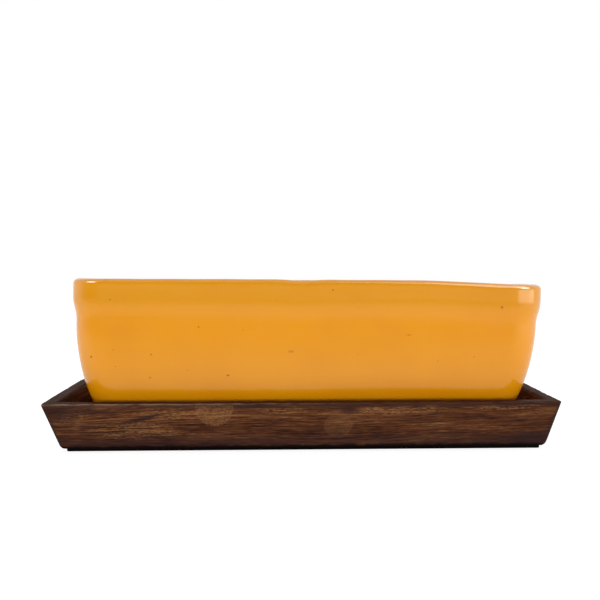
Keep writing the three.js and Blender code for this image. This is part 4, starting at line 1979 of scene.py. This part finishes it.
@dataclass
class Studio:
    """A pale floor, a white surround, soft lamps and the camera.

    Attributes:
        ambient: brightness of the surround where it lights matt surfaces.
        dim_front: brightness of the room in front.
        right_front: the same towards the right, where it is less dim.
        ceiling: brightness straight above.
        floor_front: how far the pale floor reaches in front.
        floor_reach: how far it reaches behind and to the sides, in metres like all that follows it.
        floor_light: the floor's own share of light where the camera sees it.
        floor_glow: its own share in gloss round the object, where the table is lit from below.
        floor_near: its own share on matt surfaces, close to the object.
        floor_far: the same further in front.
        floor_grey: the floor's own colour.
        right_edge: where to the right the room goes from dim to less dim, as part of a direction.
        room_edge: where from front to back it goes from dim to bright, in the same way.
        ceiling_edge: where upwards it goes to the ceiling's brightness, in the same way.
        bounce_edge: where in front the floor's share on matt surfaces changes.
        glow_end: how far in front of the middle the glow reaches.
        glow_full: how far in front of it the glow is full.
        glow_slant: how much further it reaches for each metre to the right.
        softboxes: the lamps.
        lens: the camera's focal length in millimetres.
        camera_place: where the camera stands, in metres.
        camera_down: by how many degrees it looks down.
        camera_right: by how many degrees it looks to the right.
    """

    ambient: float = 0.8
    dim_front: float = 0.18
    right_front: float = 0.34
    ceiling: float = 1.3
    floor_front: float = -0.75
    floor_reach: float = 3.0
    floor_light: float = 0.88
    floor_glow: float = 0.7
    floor_near: float = 0.68
    floor_far: float = 1.0
    floor_grey: Colour = srgb(155, 155, 155)
    right_edge: Point = (0.0, 0.4)
    room_edge: Point = (-0.35, 0.15)
    ceiling_edge: Point = (0.6, 0.9)
    bounce_edge: Point = (-0.5, -0.15)
    glow_end: float = 0.6
    glow_full: float = 0.15
    glow_slant: float = 0.25
    softboxes: tuple[Softbox, ...] = (
        Softbox("front_fill", (0.18, -1.2, 0.1), (0.0, 0.0, 0.1), (2.4, 0.2), 8.4, in_gloss=False),
        Softbox("left_side", (-1.0, -0.1, 0.2), (-0.15, -0.05, 0.08), (0.4, 0.4), 1.45, in_gloss=False),
        Softbox("right_side", (1.0, 0.02, 0.2), (0.15, -0.05, 0.08), (0.4, 0.4), 1.3, in_gloss=False),
        Softbox("right_low", (0.93, -0.5, 0.13), (0.15, -0.05, 0.1), (1.0, 0.26), 2.6, on_matt=False),
        Softbox("right_high", (0.6, -0.3, 0.5), (0.15, -0.05, 0.1), (0.3, 0.3), 5.0, on_matt=False),
        Softbox(
            "right_front_high", (0.47, -0.28, 0.72), (0.12, -0.07, 0.1), (0.8, 0.45), 5.5, on_matt=False
        ),
        Softbox("left_high", (-0.6, -0.3, 0.5), (-0.15, -0.05, 0.1), (0.3, 0.3), 4.2, on_matt=False),
    )
    lens: float = 43.5
    camera_place: Place = (-0.0158, -0.5319, 0.122)
    camera_down: float = 3.07
    camera_right: float = 1.7

    def build_world(self) -> None:
        """White for the camera; dimmer on matt surfaces; and a dim room in front for all but the camera."""
        world = bpy.data.worlds.new("white_surround")
        world.use_nodes = True
        bpy.context.scene.world = world
        graph = Graph(world.node_tree)
        ray = graph.node("ShaderNodeLightPath").outputs
        direction = graph.parts(graph.node("ShaderNodeTexCoord").outputs["Generated"])
        front = graph.ease(direction["X"], *self.right_edge, self.dim_front, self.right_front)
        room = graph.ease(direction["Y"], *self.room_edge, front, 1.0)
        room = graph.larger(room, graph.ease(direction["Z"], *self.ceiling_edge, 0.0, self.ceiling))
        level = graph.times(room, graph.ease(ray["Is Glossy Ray"], 0.0, 1.0, self.ambient, 1.0))
        strength = graph.larger(ray["Is Camera Ray"], level)
        shader = graph.node("ShaderNodeBackground", {"Color": (1.0, 1.0, 1.0, 1.0), "Strength": strength})
        graph.node("ShaderNodeOutputWorld", {"Surface": shader.outputs[0]})

    def build_floor(self) -> None:
        """A pale floor that the camera sees as white and that keeps the soft shadow of the object."""
        reach, front = self.floor_reach, self.floor_front
        corners = [[-reach, front, 0], [reach, front, 0], [reach, reach, 0], [-reach, reach, 0]]
        floor = make_mesh("pale_floor", np.array(corners) / MM, [[0, 1, 2, 3]])
        material, graph = new_material("pale_floor")
        ray = graph.node("ShaderNodeLightPath").outputs
        matt = graph.node("ShaderNodeBsdfDiffuse", {"Color": self.floor_grey})
        place = graph.parts(graph.here())
        slanted = graph.plus(place["Y"], graph.times(place["X"], self.glow_slant))
        in_gloss = graph.ease(slanted, -self.glow_end, -self.glow_full, 0.0, self.floor_glow)
        on_matt = graph.ease(place["Y"], *self.bounce_edge, self.floor_far, self.floor_near)
        own = graph.between(ray["Is Glossy Ray"], on_matt, in_gloss)
        own = graph.between(ray["Is Camera Ray"], own, self.floor_light)
        glow = graph.node("ShaderNodeEmission", {"Strength": own})
        both = graph.node("ShaderNodeAddShader", {0: matt.outputs[0], 1: glow.outputs[0]})
        graph.node("ShaderNodeOutputMaterial", {"Surface": both.outputs[0]})
        dress(floor, material)

    def build_camera(self) -> None:
        """The camera at the photograph's height and angle."""
        camera = bpy.data.cameras.new("camera")
        camera.lens = self.lens
        camera.clip_start = 0.01
        holder = bpy.data.objects.new("camera", camera)
        bpy.context.scene.collection.objects.link(holder)
        holder.location = self.camera_place
        holder.rotation_euler = (radians(90 - self.camera_down), 0.0, -radians(self.camera_right))
        bpy.context.scene.camera = holder

    def build(self) -> None:
        """Sets up the whole studio."""
        bpy.context.scene.view_settings.view_transform = "Standard"
        self.build_world()
        self.build_floor()
        for softbox in self.softboxes:
            softbox.build()
        self.build_camera()


def main() -> None:
    """Loads the frame, builds the studio and every piece."""
    logging.basicConfig(level=logging.INFO, format="%(name)s: %(message)s")
    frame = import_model()
    Studio().build()
    Pot().build(GlazeFinish())
    tray = Tray()
    tray.build_walls(WoodFinish())
    tray.build_base(BaseFinish())
    tray.dress_pins(frame["nodes"], SteelFinish())


if __name__ == "__main__":
    main()
